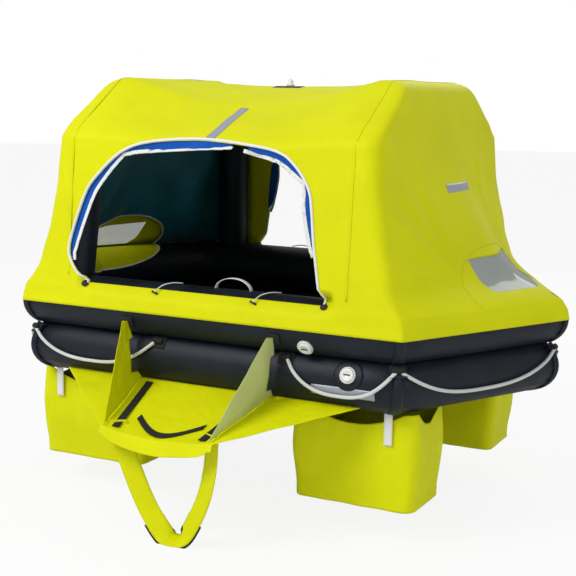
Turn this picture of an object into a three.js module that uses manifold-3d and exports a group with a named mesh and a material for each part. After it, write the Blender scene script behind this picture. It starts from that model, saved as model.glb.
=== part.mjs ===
// An inflated canopied liferaft: two stacked buoyancy tubes of hexagonal plan, two arch tubes, a canopy with a
// doorway on each long side, a boarding platform with a step loop, and ballast pockets under the hull.
// Millimetres. X runs along the doorways, Y across the raft, Z up from the hull's underside.
import * as THREE from 'three';
import { mergeVertices } from 'three/addons/utils/BufferGeometryUtils.js';
import Module from 'manifold-3d';

const wasm = await Module();
wasm.setup();

// Clearance between neighbours that touch
const GAP = 0.3;

// Hull: the plan is measured on the upper tube's axis
const TUBE_R = 125;
const SEAT_DEPTH = 15; // of the flats where the tubes are bonded together
const TUBE_SEAT = TUBE_R - SEAT_DEPTH;
const SIDE_HALF = 890;
const HALF_WIDTH = 748;
const TIP = 1284;
const LOWER_INSET = 30;
const BAND_HALF = 30; // reinforcing bands over the mitred joints
const BAND_T = 1.5;
const FLOOR_T = 42;
const FLOOR_CELL = 120;
const LOWER_Z = TUBE_R;
const UPPER_Z = LOWER_Z + 2 * TUBE_SEAT + GAP;
const HULL_TOP = UPPER_Z + TUBE_R;

// Arch tubes: their feet stand further apart than their tops
const ARCH_R = 85;
const ARCH_FOOT_X = 742;
const ARCH_TOP_X = 698;

// Canopy: outer faces of the walls and the roof in the plane of an arch, from the hull's side and top
const FABRIC = 6;
const FLAP_SPACE = 15; // between the side wall and the arch's leg, where the gathered flap lies
const WALL_FOOT_Y = HALF_WIDTH + 114;
const WALL_FOOT_Z = HULL_TOP - 10.3;
const KNEE_Y = HALF_WIDTH + 52;
const KNEE_Z = HULL_TOP + 674.7;
const SHOULDER_IN = 328; // from the tube's axis to the roof's edge
const SHOULDER_Y = HALF_WIDTH - SHOULDER_IN;
const ROOF_RISE = 253;
const ROOF_Z = KNEE_Z + ROOF_RISE;
const ROOF_SAG = 30;
const SHOULDER_SAG = 118;
const SAG_HALF = 640;
const HEM_Z = UPPER_Z - GAP;

// Doorway: half widths and heights of its outline
const SILL_Z = HULL_TOP - 18.3;
const SILL_HALF = 612;
const DOOR_TOP = KNEE_Z - 23;
const DOOR_BULGE_LEFT = 702;
const DOOR_RIGHT = 535;
const PIPING_W = 14;
const PIPING_T = 2.5;
const FLAP_T = 11;
const FLAP_W = 52;

// End windows and the inner liner
const WINDOW_HALF = 275;
const WINDOW_LOW = HULL_TOP + 13.7;
const WINDOW_H = 132;
const WINDOW_HIGH = WINDOW_LOW + WINDOW_H;
const WINDOW_SLANT = 18; // how much shorter its top is at each end
const LINER_IN = 34;
const LINER_T = 5;

// Boarding platform, gussets and step
const PLATFORM_HALF = 760;
const PLATFORM_MID = 345;
const PLATFORM_FRONT_HALF = 262;
const PLATFORM_FRONT_Y = 1215;
const PLATFORM_FRONT_Z = -98;
const PLATFORM_T = 5;
const PLATFORM_LIP = 62;
const PLATFORM_SEAT_DEG = -50;
const GUSSET_X = 375;
const GUSSET_Z = 300;
const STEP_DROP = 470;
const STEP_W = 90;
const STEP_T = 6;
const WEB_W = 34;
const WEB_T = 3;

// Ballast pockets
const POCKET_W = 570;
const POCKET_D = 350;
const POCKET_H = 435;
const POCKET_X = 690; // centre
const POCKET_MOUTH = 66;
const POCKET_R = 45;

// Rope
const ROPE_R = 8;
const ROPE_OFF = 6; // slack between the hanging rope and the tube
const ROPE_DEG = 40; // where a patch sits on the lower tube, up from its widest line

const material = (color, roughness = 0.7, metalness = 0) =>
  new THREE.MeshStandardMaterial({ color, roughness, metalness });
const RUBBER = material(0x141c26, 0.55);
const YELLOW = material(0xe6e600, 0.6);
const TEAL = material(0x00465a, 0.8);
const BLUE = material(0x0a50b4, 0.7);
const WHITE = material(0xe8e8e4, 0.6);
const CREAM = material(0xc4cc8a, 0.7);
const BLACK = material(0x101012, 0.6);
const CLEAR = material(0xb8c0c0, 0.2);
const STEEL = material(0xb9bdc2, 0.35, 0.8);

const raft = new THREE.Group();

function add(name, geometry, finish) {
  const mesh = new THREE.Mesh(geometry, finish);
  mesh.name = name;
  raft.add(mesh);
  return mesh;
}

// Merges the shared points of an indexed mesh, drops the triangles that collapse, and turns its faces outwards
function tidy(geometry) {
  const bare = new THREE.BufferGeometry();
  bare.setAttribute('position', geometry.getAttribute('position').clone());
  if (geometry.index) bare.setIndex(geometry.index.clone());
  const merged = mergeVertices(bare, 1e-3);
  const p = merged.getAttribute('position');
  const old = merged.index.array;
  const index = [];
  let volume = 0;
  const [a, b, c] = [new THREE.Vector3(), new THREE.Vector3(), new THREE.Vector3()];
  for (let i = 0; i < old.length; i += 3) {
    const [k, l, m] = [old[i], old[i + 1], old[i + 2]];
    if (k === l || l === m || m === k) continue;
    index.push(k, l, m);
    a.fromBufferAttribute(p, k);
    b.fromBufferAttribute(p, l);
    c.fromBufferAttribute(p, m);
    volume += a.dot(b.cross(c));
  }
  if (volume < 0) index.reverse();
  merged.setIndex(index);
  return merged;
}

function solid(geometry) {
  const mesh = tidy(geometry);
  const vertProperties = new Float32Array(mesh.getAttribute('position').array);
  const triVerts = new Uint32Array(mesh.index.array);
  return new wasm.Manifold(new wasm.Mesh({ numProp: 3, vertProperties, triVerts }));
}

// The largest body of a cut solid, as a geometry
function shape(cut) {
  const bodies = cut.decompose();
  const main = bodies.reduce((big, body) => (body.volume() > big.volume() ? body : big));
  const mesh = main.getMesh();
  const geometry = new THREE.BufferGeometry();
  geometry.setAttribute('position', new THREE.BufferAttribute(new Float32Array(mesh.vertProperties), 3));
  geometry.setIndex(new THREE.BufferAttribute(new Uint32Array(mesh.triVerts), 1));
  return geometry;
}

// A skin over rings of points, each with the same count; a loop joins the last ring to the first
function skin(rings, { loop = false } = {}) {
  const n = rings[0].length;
  const points = rings.flat();
  const index = [];
  const last = loop ? rings.length : rings.length - 1;
  for (let r = 0; r < last; r++) {
    const here = r * n;
    const next = ((r + 1) % rings.length) * n;
    for (let i = 0; i < n; i++) {
      const j = (i + 1) % n;
      index.push(here + i, here + j, next + j, here + i, next + j, next + i);
    }
  }
  if (!loop) {
    for (const [ring, turned] of [[0, true], [rings.length - 1, false]]) {
      const centre = new THREE.Vector3();
      rings[ring].forEach((q) => centre.addScaledVector(q, 1 / n));
      const hub = points.push(centre) - 1;
      for (let i = 0; i < n; i++) {
        const [k, l] = [ring * n + i, ring * n + ((i + 1) % n)];
        index.push(...(turned ? [hub, l, k] : [hub, k, l]));
      }
    }
  }
  const geometry = new THREE.BufferGeometry().setFromPoints(points);
  geometry.setIndex(index);
  return tidy(geometry);
}

// A thin sheet over a grid of points, half its thickness to each side
function sheet(grid, thickness) {
  const rows = grid.length;
  const cols = grid[0].length;
  const at = (r, c) => grid[Math.min(Math.max(r, 0), rows - 1)][Math.min(Math.max(c, 0), cols - 1)];
  const normal = (r, c) =>
    at(r + 1, c).clone().sub(at(r - 1, c)).cross(at(r, c + 1).clone().sub(at(r, c - 1))).normalize();
  const side = (s) => grid.map((row, r) => row.map((q, c) => q.clone().addScaledVector(normal(r, c), s)));
  const [top, bottom] = [side(thickness / 2), side(-thickness / 2)];
  return skin(top.map((row, r) => [...row, ...bottom[r].slice().reverse()]));
}

// An extrusion along Y of an outline drawn in X and Z
function prismY(outline, low, high) {
  const flat = new THREE.Shape(outline.map(([x, z]) => new THREE.Vector2(x, z)));
  const geometry = new THREE.ExtrudeGeometry(flat, { depth: high - low, bevelEnabled: false });
  geometry.rotateX(Math.PI / 2);
  geometry.translate(0, high, 0);
  return geometry;
}

// An extrusion along X of an outline drawn in Y and Z
function prismX(outline, low, high) {
  const flat = new THREE.Shape(outline.map(([y, z]) => new THREE.Vector2(y, z)));
  const geometry = new THREE.ExtrudeGeometry(flat, { depth: high - low, bevelEnabled: false });
  geometry.rotateX(Math.PI / 2);
  geometry.rotateZ(Math.PI / 2);
  geometry.translate(low, 0, 0);
  return geometry;
}

const turned = (geometry) => geometry.clone().rotateZ(Math.PI);

// The hull's plan

const LEAN = Math.atan2(TIP - SIDE_HALF, HALF_WIDTH);
const cornerX = (offset) => SIDE_HALF + offset * Math.tan(Math.PI / 4 - LEAN / 2);
const tipX = (offset) => TIP + offset / Math.cos(LEAN);

function hexagon(offset) {
  const [a, b, t] = [cornerX(offset), HALF_WIDTH + offset, tipX(offset)];
  return [[-a, -b], [a, -b], [t, 0], [a, b], [-a, b], [-t, 0]].map(([x, y]) => new THREE.Vector2(x, y));
}

const TUBE_SIDES = 16;

// A round section with the flat that the other tube is bonded to; side is +1 for a flat on top
function tubeSection(radius, seat, side) {
  return Array.from({ length: TUBE_SIDES }, (_, k) => {
    const angle = (2 * Math.PI * k) / TUBE_SIDES;
    const up = radius * Math.sin(angle);
    return [radius * Math.cos(angle), side * up > seat ? side * seat : up];
  });
}

function hexTube({ z, inset, side, more = 0 }) {
  const corners = hexagon(-inset);
  const plain = tubeSection(TUBE_R + more, TUBE_SEAT + more, side);
  const band = tubeSection(TUBE_R + more + BAND_T, TUBE_SEAT + more, side);
  const ring = (at, out, section) =>
    section.map(([o, u]) => new THREE.Vector3(at.x + out.x * o, at.y + out.y * o, z + u));
  const rings = [];
  corners.forEach((corner, i) => {
    const before = corner.clone().sub(corners[(i + 5) % 6]).normalize();
    const after = corners[(i + 1) % 6].clone().sub(corner).normalize();
    const [n0, n1] = [before, after].map((d) => new THREE.Vector2(d.y, -d.x));
    const mitre = n0.clone().add(n1).divideScalar(1 + n0.dot(n1));
    const back = (d) => corner.clone().addScaledVector(before, -d);
    const on = (d) => corner.clone().addScaledVector(after, d);
    const inner = BAND_HALF + TUBE_R * Math.tan(Math.acos(n0.dot(n1)) / 2);
    rings.push(ring(back(inner + BAND_T), n0, plain), ring(back(inner), n0, band));
    rings.push(ring(corner, mitre, band));
    rings.push(ring(on(inner), n1, band), ring(on(inner + BAND_T), n1, plain));
  });
  return skin(rings, { loop: true });
}

const LOWER = { z: LOWER_Z, inset: LOWER_INSET, side: 1 };
const UPPER = { z: UPPER_Z, inset: 0, side: -1 };
const lowerClear = solid(hexTube({ ...LOWER, more: GAP }));
const upperClear = solid(hexTube({ ...UPPER, more: GAP }));

// A frame on a side of the lower or upper tube: the point at x along the near side and at an angle on the section
function onNearTube(tube, x, degrees, lift = 0) {
  const angle = THREE.MathUtils.degToRad(degrees);
  const out = new THREE.Vector3(0, -Math.cos(angle), Math.sin(angle));
  const axis = new THREE.Vector3(x, -(HALF_WIDTH - tube.inset), tube.z);
  return { out, at: axis.clone().addScaledVector(out, TUBE_R + lift) };
}

// A round piece standing on a tube, turned about an axis that points out of it
function standing(profile, { at, out }, sides = 16) {
  const geometry = new THREE.LatheGeometry(profile.map(([r, h]) => new THREE.Vector2(r, h)), sides);
  geometry.applyQuaternion(new THREE.Quaternion().setFromUnitVectors(new THREE.Vector3(0, 1, 0), out));
  geometry.translate(at.x, at.y, at.z);
  return geometry;
}

// Lower tube, with a round valve patch and the rope's webbing patches bonded on

const PATCH_X = 60;
const PATCH_OUT = 25;
const PATCH_UP = 34;
const lowerCorners = hexagon(-LOWER_INSET);

function ropeFrame(i) {
  const n = lowerCorners.length;
  const corner = lowerCorners[((i % n) + n) % n];
  const before = corner.clone().sub(lowerCorners[(i + n - 1) % n]).normalize();
  const after = lowerCorners[(i + 1) % n].clone().sub(corner).normalize();
  const along = before.clone().add(after).normalize();
  const half = Math.cos(Math.acos(before.dot(after)) / 2);
  const out = new THREE.Vector2(along.y, -along.x);
  const angle = THREE.MathUtils.degToRad(ROPE_DEG);
  const reach = (TUBE_R * Math.cos(angle)) / half;
  const at = new THREE.Vector3(corner.x + out.x * reach, corner.y + out.y * reach, LOWER_Z + TUBE_R * Math.sin(angle));
  return { at, out: new THREE.Vector3(out.x, out.y, 0), along: new THREE.Vector3(along.x, along.y, 0) };
}

// Patches halfway along a side: where along it, and on which side
const NEAR_LEFT_PATCH = { x: -240, side: -1 };
const NEAR_RIGHT_PATCH = { x: 412, side: -1 };
const FAR_PATCH = { x: 0, side: 1 };

function midFrame({ x, side }) {
  const angle = THREE.MathUtils.degToRad(ROPE_DEG);
  const y = side * (HALF_WIDTH - LOWER_INSET + TUBE_R * Math.cos(angle));
  const at = new THREE.Vector3(x, y, LOWER_Z + TUBE_R * Math.sin(angle));
  return { at, out: new THREE.Vector3(0, side, 0), along: new THREE.Vector3(-side, 0, 0) };
}

function ropePatch({ at, out, along }, more = 0) {
  const box = new THREE.BoxGeometry(PATCH_X + 2 * more, (PATCH_OUT + more) * 2, PATCH_UP + 2 * more);
  const tilt = out.clone().applyAxisAngle(along, THREE.MathUtils.degToRad(ROPE_DEG));
  const up = new THREE.Vector3().crossVectors(along, tilt);
  box.applyMatrix4(new THREE.Matrix4().makeBasis(along, tilt, up).setPosition(at));
  return box;
}

const LOWER_VALVE = onNearTube(LOWER, 714, 21);
const VALVE_PATCH_R = 66;
const VALVE_PATCH_T = 2;
const patchReach = [[0, -TUBE_R], [VALVE_PATCH_R, -TUBE_R], [VALVE_PATCH_R, TUBE_R], [0, TUBE_R]];
const valvePatch = solid(standing(patchReach, LOWER_VALVE))
  .intersect(solid(hexTube({ ...LOWER, more: VALVE_PATCH_T })));
let lowerTube = solid(hexTube(LOWER)).add(valvePatch);
const midPatches = [NEAR_LEFT_PATCH, NEAR_RIGHT_PATCH, FAR_PATCH];
const patchFrames = [...lowerCorners.map((_, i) => ropeFrame(i)), ...midPatches.map(midFrame)];
for (const frame of patchFrames) lowerTube = lowerTube.add(solid(ropePatch(frame)));
add('lower_tube', shape(lowerTube), RUBBER);
add('upper_tube', hexTube(UPPER), RUBBER);

// Inflated floor: cells along Y, welded between, filling the lower tube's inside

const FLOOR_WELD = 0.62; // height of a weld between cells, as a share of the floor's

function floorCells() {
  const reach = TIP - LOWER_INSET;
  const cells = Math.floor((2 * reach) / FLOOR_CELL);
  const start = (-cells * FLOOR_CELL) / 2;
  const outline = [[start, 0]];
  const steps = 3;
  for (let c = 0; c < cells; c++) {
    for (let s = 0; s < steps; s++) {
      const height = FLOOR_T * (FLOOR_WELD + (1 - FLOOR_WELD) * Math.sin((Math.PI * s) / steps));
      outline.push([start + (c + s / steps) * FLOOR_CELL, height]);
    }
  }
  outline.push([start + cells * FLOOR_CELL, FLOOR_T * FLOOR_WELD], [start + cells * FLOOR_CELL, 0]);
  return prismY(outline.reverse(), -HALF_WIDTH, HALF_WIDTH);
}

const FLOOR_EDGE = 60; // how far the floor stops inside the lower tube's axis
const rimAt = (offset, z) => hexagon(offset).map((q) => new THREE.Vector3(q.x, q.y, z));
const floorPlan = skin([rimAt(-LOWER_INSET - FLOOR_EDGE, 0), rimAt(-LOWER_INSET - FLOOR_EDGE, 2 * FLOOR_T)]);
add('floor', shape(solid(floorCells()).intersect(solid(floorPlan)).subtract(lowerClear)), RUBBER);

// Canopy form: rings round the raft from the hem to the roof's middle line

const seatOut = (z) => Math.sqrt((TUBE_R + GAP + FABRIC) ** 2 - (z - UPPER_Z) ** 2);
const seated = (z) => ({ z, a: cornerX(seatOut(z)), b: HALF_WIDTH + seatOut(z), t: tipX(seatOut(z)) });
const HEM_STEPS = [0, 0.36, 0.68].map((share) => HEM_Z + share * TUBE_R);
const WALL_LEVELS = [0.0876, 0.2628, 0.6642].map((share) => WALL_FOOT_Z + share * (KNEE_Z - WALL_FOOT_Z));
const ROOF_LEVELS = [0.502, 0.83, 0.9486].map((share) => KNEE_Z + share * ROOF_RISE);
const slopeY = (z) => KNEE_Y - ((KNEE_Y - SHOULDER_Y) * (z - KNEE_Z)) / (ROOF_Z - KNEE_Z);
const wallY = (z) => WALL_FOOT_Y - ((WALL_FOOT_Y - KNEE_Y) * (z - WALL_FOOT_Z)) / (KNEE_Z - WALL_FOOT_Z);
const ARCH_EDGE = ARCH_TOP_X + ARCH_R;
const HEM_EASE = 4; // how far the fabric stands out where it leaves the tube
const LEVELS = [
  { ...seated(HEM_STEPS[0]), corner: 12, low: true },
  { ...seated(HEM_STEPS[1]), corner: 14, low: true },
  { ...seated(HEM_STEPS[2]), b: wallY(HEM_STEPS[2]) + HEM_EASE, corner: 20, low: true, hug: true },
  { ...seated(WALL_FOOT_Z), a: SIDE_HALF + 35, b: WALL_FOOT_Y, corner: 30, low: true, hug: true },
  { z: WALL_LEVELS[0], a: SIDE_HALF + 3, b: wallY(WALL_LEVELS[0]), t: TIP - 94, corner: 45 },
  { z: WALL_LEVELS[1], a: ARCH_EDGE + 84, b: wallY(WALL_LEVELS[1]), t: ARCH_EDGE + 280, corner: 60 },
  { z: WALL_LEVELS[2], a: ARCH_EDGE + 40, b: wallY(WALL_LEVELS[2]), t: ARCH_EDGE + 108, corner: 75 },
  { z: KNEE_Z, a: ARCH_EDGE + 22, b: KNEE_Y, t: ARCH_EDGE + 38, corner: 80, sag: 0.19 },
  { z: ROOF_LEVELS[0], a: ARCH_EDGE + 16, b: slopeY(ROOF_LEVELS[0]), t: ARCH_EDGE + 26, corner: 75, sag: 0.56, roof: true },
  { z: ROOF_LEVELS[1], a: ARCH_EDGE + 4, b: slopeY(ROOF_LEVELS[1]), t: ARCH_EDGE + 12, corner: 60, sag: 0.88, roof: true },
  { z: ROOF_LEVELS[2], a: ARCH_EDGE - 22, b: slopeY(ROOF_LEVELS[2]), t: ARCH_EDGE - 14, corner: 50, sag: 0.97, roof: true },
  { z: ROOF_Z, a: ARCH_TOP_X, b: SHOULDER_Y, t: ARCH_TOP_X + 8, corner: 40, sag: 1, roof: true },
  { z: ROOF_Z, a: ARCH_TOP_X, b: SHOULDER_Y / 2, t: ARCH_TOP_X + 4, corner: 20, sag: 0.5, roof: true },
  { z: ROOF_Z, a: ARCH_TOP_X, b: 0, t: ARCH_TOP_X, corner: 0, sag: ROOF_SAG / SHOULDER_SAG, roof: true },
];
const HUG_FULL = SILL_HALF; // the fabric follows the tube along the sill, and stands free beyond this
const HUG_NONE = HUG_FULL + 42;

// The plan outline of a level, with a curve at each corner
function canopyRing(level, inset) {
  const [a, b, t] = [level.a - inset, Math.max(level.b - (level.b > 0 ? inset : 0), 0), level.t - inset];
  const corners = [[-a, -b], [a, -b], [t, 0], [a, b], [-a, b], [-t, 0]].map(([x, y]) => new THREE.Vector2(x, y));
  const bends = 2;
  const ring = [];
  corners.forEach((corner, i) => {
    const back = corners[(i + 5) % 6].clone().sub(corner);
    const on = corners[(i + 1) % 6].clone().sub(corner);
    const reach = Math.min(level.corner, 0.3 * back.length(), 0.3 * on.length());
    const p0 = corner.clone().addScaledVector(back.normalize(), reach);
    const p1 = corner.clone().addScaledVector(on.normalize(), reach);
    const curve = new THREE.QuadraticBezierCurve(p0, corner, p1);
    ring.push(...curve.getPoints(bends));
    const along = i % 3 === 0 ? 9 : 3;
    const next = corners[(i + 1) % 6];
    const far = corners[(i + 2) % 6].clone().sub(next);
    const stop = Math.min(level.corner, 0.3 * far.length(), 0.3 * next.distanceTo(corner));
    const end = next.clone().addScaledVector(corner.clone().sub(next).normalize(), stop);
    for (let s = 1; s < along; s++) ring.push(p1.clone().lerp(end, s / along));
  });
  return ring.map(({ x, y }) => {
    let side = y;
    if (level.hug) {
      const free = THREE.MathUtils.smoothstep(Math.abs(x), HUG_FULL, HUG_NONE);
      const hugged = HALF_WIDTH + seatOut(level.z) - inset;
      const reach = Math.abs(y);
      if (reach > hugged) side = Math.sign(y) * THREE.MathUtils.lerp(hugged, reach, free);
    }
    const share = Math.max(0, 1 - (x / SAG_HALF) ** 2);
    const drop = (level.sag ?? 0) * SHOULDER_SAG * share;
    return new THREE.Vector3(x, side, level.z - drop - (level.roof ? inset : 0));
  });
}

// The canopy's form, moved in by an inset; low rings of an inner form run inside the tube
function canopyForm(inset, { deep = 0 } = {}) {
  const rings = LEVELS.map((level) => canopyRing(level, level.low && deep ? inset + deep : inset));
  if (deep) rings.unshift(rings[0].map((q) => q.clone().setZ(HEM_Z - 60)));
  return skin(rings);
}

const outerForm = solid(canopyForm(0));
const LOW_EXTRA = 4; // more room inside the low rings, where the fabric leaves the tube
const innerForm = solid(canopyForm(FABRIC, { deep: LOW_EXTRA }));

// The layer between two insets of the canopy's form
const layer = (from, to) => solid(canopyForm(from)).subtract(solid(canopyForm(to, { deep: LOW_EXTRA })));

// Arches: five straight lengths in a leaning plane, their feet cut to the upper tube

const archInset = FABRIC + GAP + ARCH_R;
const archFoot = HULL_TOP - 60; // inside the upper tube, which cuts the arches' feet
const wallPath = [
  [-wallY(archFoot), archFoot], [-KNEE_Y, KNEE_Z], [-SHOULDER_Y, ROOF_Z],
  [SHOULDER_Y, ROOF_Z], [KNEE_Y, KNEE_Z], [wallY(archFoot), archFoot],
].map(([y, z]) => new THREE.Vector2(y, z));

// The path moved in, each length by its own distance
function movedIn(path, distances) {
  const normals = distances.map((_, i) => {
    const d = path[i + 1].clone().sub(path[i]).normalize();
    return new THREE.Vector2(d.y, -d.x);
  });
  return path.map((q, i) => {
    if (i === 0) return q.clone().addScaledVector(normals[0], distances[0]);
    if (i === distances.length) return q.clone().addScaledVector(normals[i - 1], distances[i - 1]);
    const [m, n] = [normals[i - 1], normals[i]];
    const [c0, c1] = [m.dot(q) + distances[i - 1], n.dot(q) + distances[i]];
    const det = m.x * n.y - m.y * n.x;
    return new THREE.Vector2((c0 * n.y - c1 * m.y) / det, (m.x * c1 - n.x * c0) / det);
  });
}

const ARCH_SIDES = 12;
const legIn = archInset + FLAP_SPACE;
const archPath = movedIn(wallPath, [legIn, archInset, archInset, archInset, legIn]);
const archTop = ROOF_Z - archInset;
const archX = (z) =>
  ARCH_FOOT_X + ((ARCH_TOP_X - ARCH_FOOT_X) * (z - HULL_TOP)) / (archTop - HULL_TOP);

function archTube(radius) {
  const rings = archPath.map((q, i) => {
    const before = q.clone().sub(archPath[Math.max(i - 1, 0)]).normalize();
    const after = archPath[Math.min(i + 1, archPath.length - 1)].clone().sub(q).normalize();
    const d0 = i === 0 ? after : before;
    const d1 = i === archPath.length - 1 ? before : after;
    const [n0, n1] = [d0, d1].map((d) => new THREE.Vector2(-d.y, d.x));
    const mitre = n0.clone().add(n1).divideScalar(1 + n0.dot(n1));
    return Array.from({ length: ARCH_SIDES }, (_, k) => {
      const angle = (2 * Math.PI * k) / ARCH_SIDES;
      const [side, out] = [radius * Math.cos(angle), radius * Math.sin(angle)];
      const z = q.y + mitre.y * out;
      return new THREE.Vector3(archX(z) + side, q.x + mitre.x * out, z);
    });
  });
  return skin(rings);
}

const arch = shape(solid(archTube(ARCH_R)).subtract(upperClear));
add('arch_right', arch, RUBBER);
add('arch_left', turned(arch), RUBBER);
const archesClear = solid(archTube(ARCH_R + GAP)).add(solid(turned(archTube(ARCH_R + GAP))));

// Doorway outline in X and Z, seen from outside the near side; the far one is the same, turned half round

const doorCurve = new THREE.SplineCurve([
  [-SILL_HALF, 0], [-DOOR_BULGE_LEFT + 8, 0.161], [-DOOR_BULGE_LEFT, 0.281], [-DOOR_BULGE_LEFT + 70, 0.594],
  [-DOOR_BULGE_LEFT + 137, 0.74], [-440, 0.901], [-300, 0.972], [-60, 1], [160, 0.982], [350, 0.94], [440, 0.851],
  [DOOR_RIGHT - 33, 0.721], [DOOR_RIGHT - 14, 0.594], [DOOR_RIGHT + 6, 0.37], [SILL_HALF - 26, 0],
].map(([x, share]) => new THREE.Vector2(x, SILL_Z + share * (DOOR_TOP - SILL_Z))));
const DOOR_STEPS = 32;
const doorEdge = doorCurve.getPoints(DOOR_STEPS).map((q) => [q.x, q.y]);

// The door's edge moved out by a distance, or by one that changes along it
function doorOffset(distance) {
  return doorEdge.map(([x, z], i) => {
    const [x0, z0] = doorEdge[Math.max(i - 1, 0)];
    const [x1, z1] = doorEdge[Math.min(i + 1, DOOR_STEPS)];
    const length = Math.hypot(x1 - x0, z1 - z0);
    const d = typeof distance === 'function' ? distance(i / DOOR_STEPS) : distance;
    return [x - ((z1 - z0) / length) * d, z + ((x1 - x0) / length) * d];
  });
}

// A band along the door's edge, between two offsets and two shares of its length
function doorBand(low, high, from = 0, to = 1) {
  const cut = (edge) => edge.slice(Math.round(from * DOOR_STEPS), Math.round(to * DOOR_STEPS) + 1);
  return [...cut(doorOffset(low)), ...cut(doorOffset(high)).reverse()];
}

const DOOR_FAR = HALF_WIDTH + 452;
const DOOR_NEAR = HALF_WIDTH - 188;
const nearPrism = (outline) => solid(prismY(outline, -DOOR_FAR, -DOOR_NEAR));
const doorHole = nearPrism(doorEdge);
const doorHoles = doorHole.add(solid(turned(prismY(doorEdge, -DOOR_FAR, -DOOR_NEAR))));

// End windows: a trapezium seen along X

const windowOutline = (grow) => [
  [-WINDOW_HALF - grow, WINDOW_LOW - grow], [WINDOW_HALF + grow, WINDOW_LOW - grow],
  [WINDOW_HALF - WINDOW_SLANT + grow, WINDOW_HIGH + grow], [-WINDOW_HALF + WINDOW_SLANT - grow, WINDOW_HIGH + grow],
];
const END_NEAR = SIDE_HALF + 10;
const END_FAR = TIP + 316;
const windowPrism = (grow) => solid(prismX(windowOutline(grow), END_NEAR, END_FAR));
const windowHoles = windowPrism(0).add(solid(turned(prismX(windowOutline(0), END_NEAR, END_FAR))));

const canopy = outerForm.subtract(innerForm).subtract(upperClear).subtract(archesClear)
  .subtract(doorHoles).subtract(windowHoles);
add('canopy', shape(canopy), YELLOW);

const pane = shape(layer(1.5, 4.5).intersect(windowPrism(-GAP)));
add('window_right', pane, CLEAR);
add('window_left', turned(pane), CLEAR);

// Liner: an inner curtain at each end, from the arch down to the hull, open round the window

const linerStart = ARCH_TOP_X;
const linerRoom = new THREE.BoxGeometry(END_FAR, 4 * HALF_WIDTH, ROOF_Z);
linerRoom.translate(linerStart + END_FAR / 2, 0, HULL_TOP + GAP + ROOF_Z / 2);
const LINER_HOLE = 52;
const linerHole = solid(prismX(windowOutline(LINER_HOLE), END_NEAR, END_FAR));
const linerLayer = layer(LINER_IN, LINER_IN + LINER_T).intersect(solid(linerRoom));
const liner = shape(linerLayer.subtract(linerHole).subtract(archesClear));
add('liner_right', liner, TEAL);
add('liner_left', turned(liner), TEAL);

// Gathered door flaps behind the doorway's edge, tied back at three points, and the piping round it

const TIES = [0.065, 0.36, 0.56, 0.76, 0.94];
function gathered(s) {
  for (let i = 1; i < TIES.length; i++) {
    if (s <= TIES[i]) {
      const share = (s - TIES[i - 1]) / (TIES[i] - TIES[i - 1]);
      return -8 - (FLAP_W - 8) * Math.max(0, Math.sin(Math.PI * share));
    }
  }
  return -8;
}
const flapBack = FABRIC + 2 * GAP;
const flapLayer = layer(flapBack, flapBack + FLAP_T);
for (const [hand, from, to] of [['left', TIES[0], TIES[2]], ['right', TIES[2] + 0.02, TIES[4]]]) {
  const flap = shape(flapLayer.intersect(nearPrism(doorBand(gathered, 20, from, to)))
    .subtract(upperClear).subtract(archesClear));
  add(`near_door_flap_${hand}`, flap, BLUE);
  add(`far_door_flap_${hand}`, turned(flap), BLUE);
}

const pipingLayer = solid(canopyForm(-GAP - PIPING_T)).subtract(solid(canopyForm(-GAP)));
const piping = shape(pipingLayer.intersect(nearPrism(doorBand(0, PIPING_W))));
add('near_door_piping', piping, WHITE);
add('far_door_piping', turned(piping), WHITE);

// Toggles that hold the doorway's lower edge, lying on the fabric over the upper tube

const TOGGLE_L = 34;
const TOGGLE_R = 5;
const TOGGLE_DEG = 43;
const TOGGLE_OFF = 2;
const TOGGLE_LEAN = 0.35;
const TOGGLE_X = [-239, 264];
TOGGLE_X.forEach((x, i) => {
  const { at } = onNearTube(UPPER, x, TOGGLE_DEG, GAP + FABRIC + GAP + TOGGLE_R + TOGGLE_OFF);
  const toggle = new THREE.CapsuleGeometry(TOGGLE_R, TOGGLE_L - 2 * TOGGLE_R, 2, 8);
  toggle.rotateZ(Math.PI / 2 - TOGGLE_LEAN);
  toggle.translate(at.x, at.y, at.z);
  add(`near_toggle_${i + 1}`, toggle, BLACK);
  add(`far_toggle_${i + 1}`, turned(toggle), BLACK);
});

// Roof lamp on its patch, at the roof's middle

const LAMP_PATCH = [150, 96];
const LAMP_PATCH_T = 3;
const lampPatch = new THREE.BoxGeometry(LAMP_PATCH[0], LAMP_PATCH[1], 4 * SHOULDER_SAG).translate(0, 0, ROOF_Z);
const lampLayer = solid(canopyForm(-GAP - LAMP_PATCH_T)).subtract(solid(canopyForm(-GAP)));
add('lamp_patch', shape(lampLayer.intersect(solid(lampPatch))), BLACK);
const LAMP_CROWN = 0.5; // the patch's rise over the roof's crease
const lampSeat = ROOF_Z - ROOF_SAG + GAP + LAMP_PATCH_T + LAMP_CROWN + GAP;
const lampProfile = [[0, 0], [20, 0], [20, 9], [14, 12], [13, 26], [8, 33], [0, 35]];
const lamp = new THREE.LatheGeometry(lampProfile.map(([r, h]) => new THREE.Vector2(r, h)), 16);
lamp.rotateX(Math.PI / 2);
lamp.translate(0, 0, lampSeat);
add('roof_lamp', lamp, WHITE);

// Boarding platform: hung out from the lower tube, with a drooping front lip

const seatAngle = THREE.MathUtils.degToRad(PLATFORM_SEAT_DEG);
const seatReach = TUBE_R + GAP + PLATFORM_T / 2;
const platformRoot = {
  y: -(HALF_WIDTH - LOWER_INSET + seatReach * Math.cos(seatAngle)),
  z: LOWER_Z + seatReach * Math.sin(seatAngle),
};
const WING_COLS = 3;
const MID_COLS = 8;
const PLATFORM_ROWS = 6;

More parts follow.
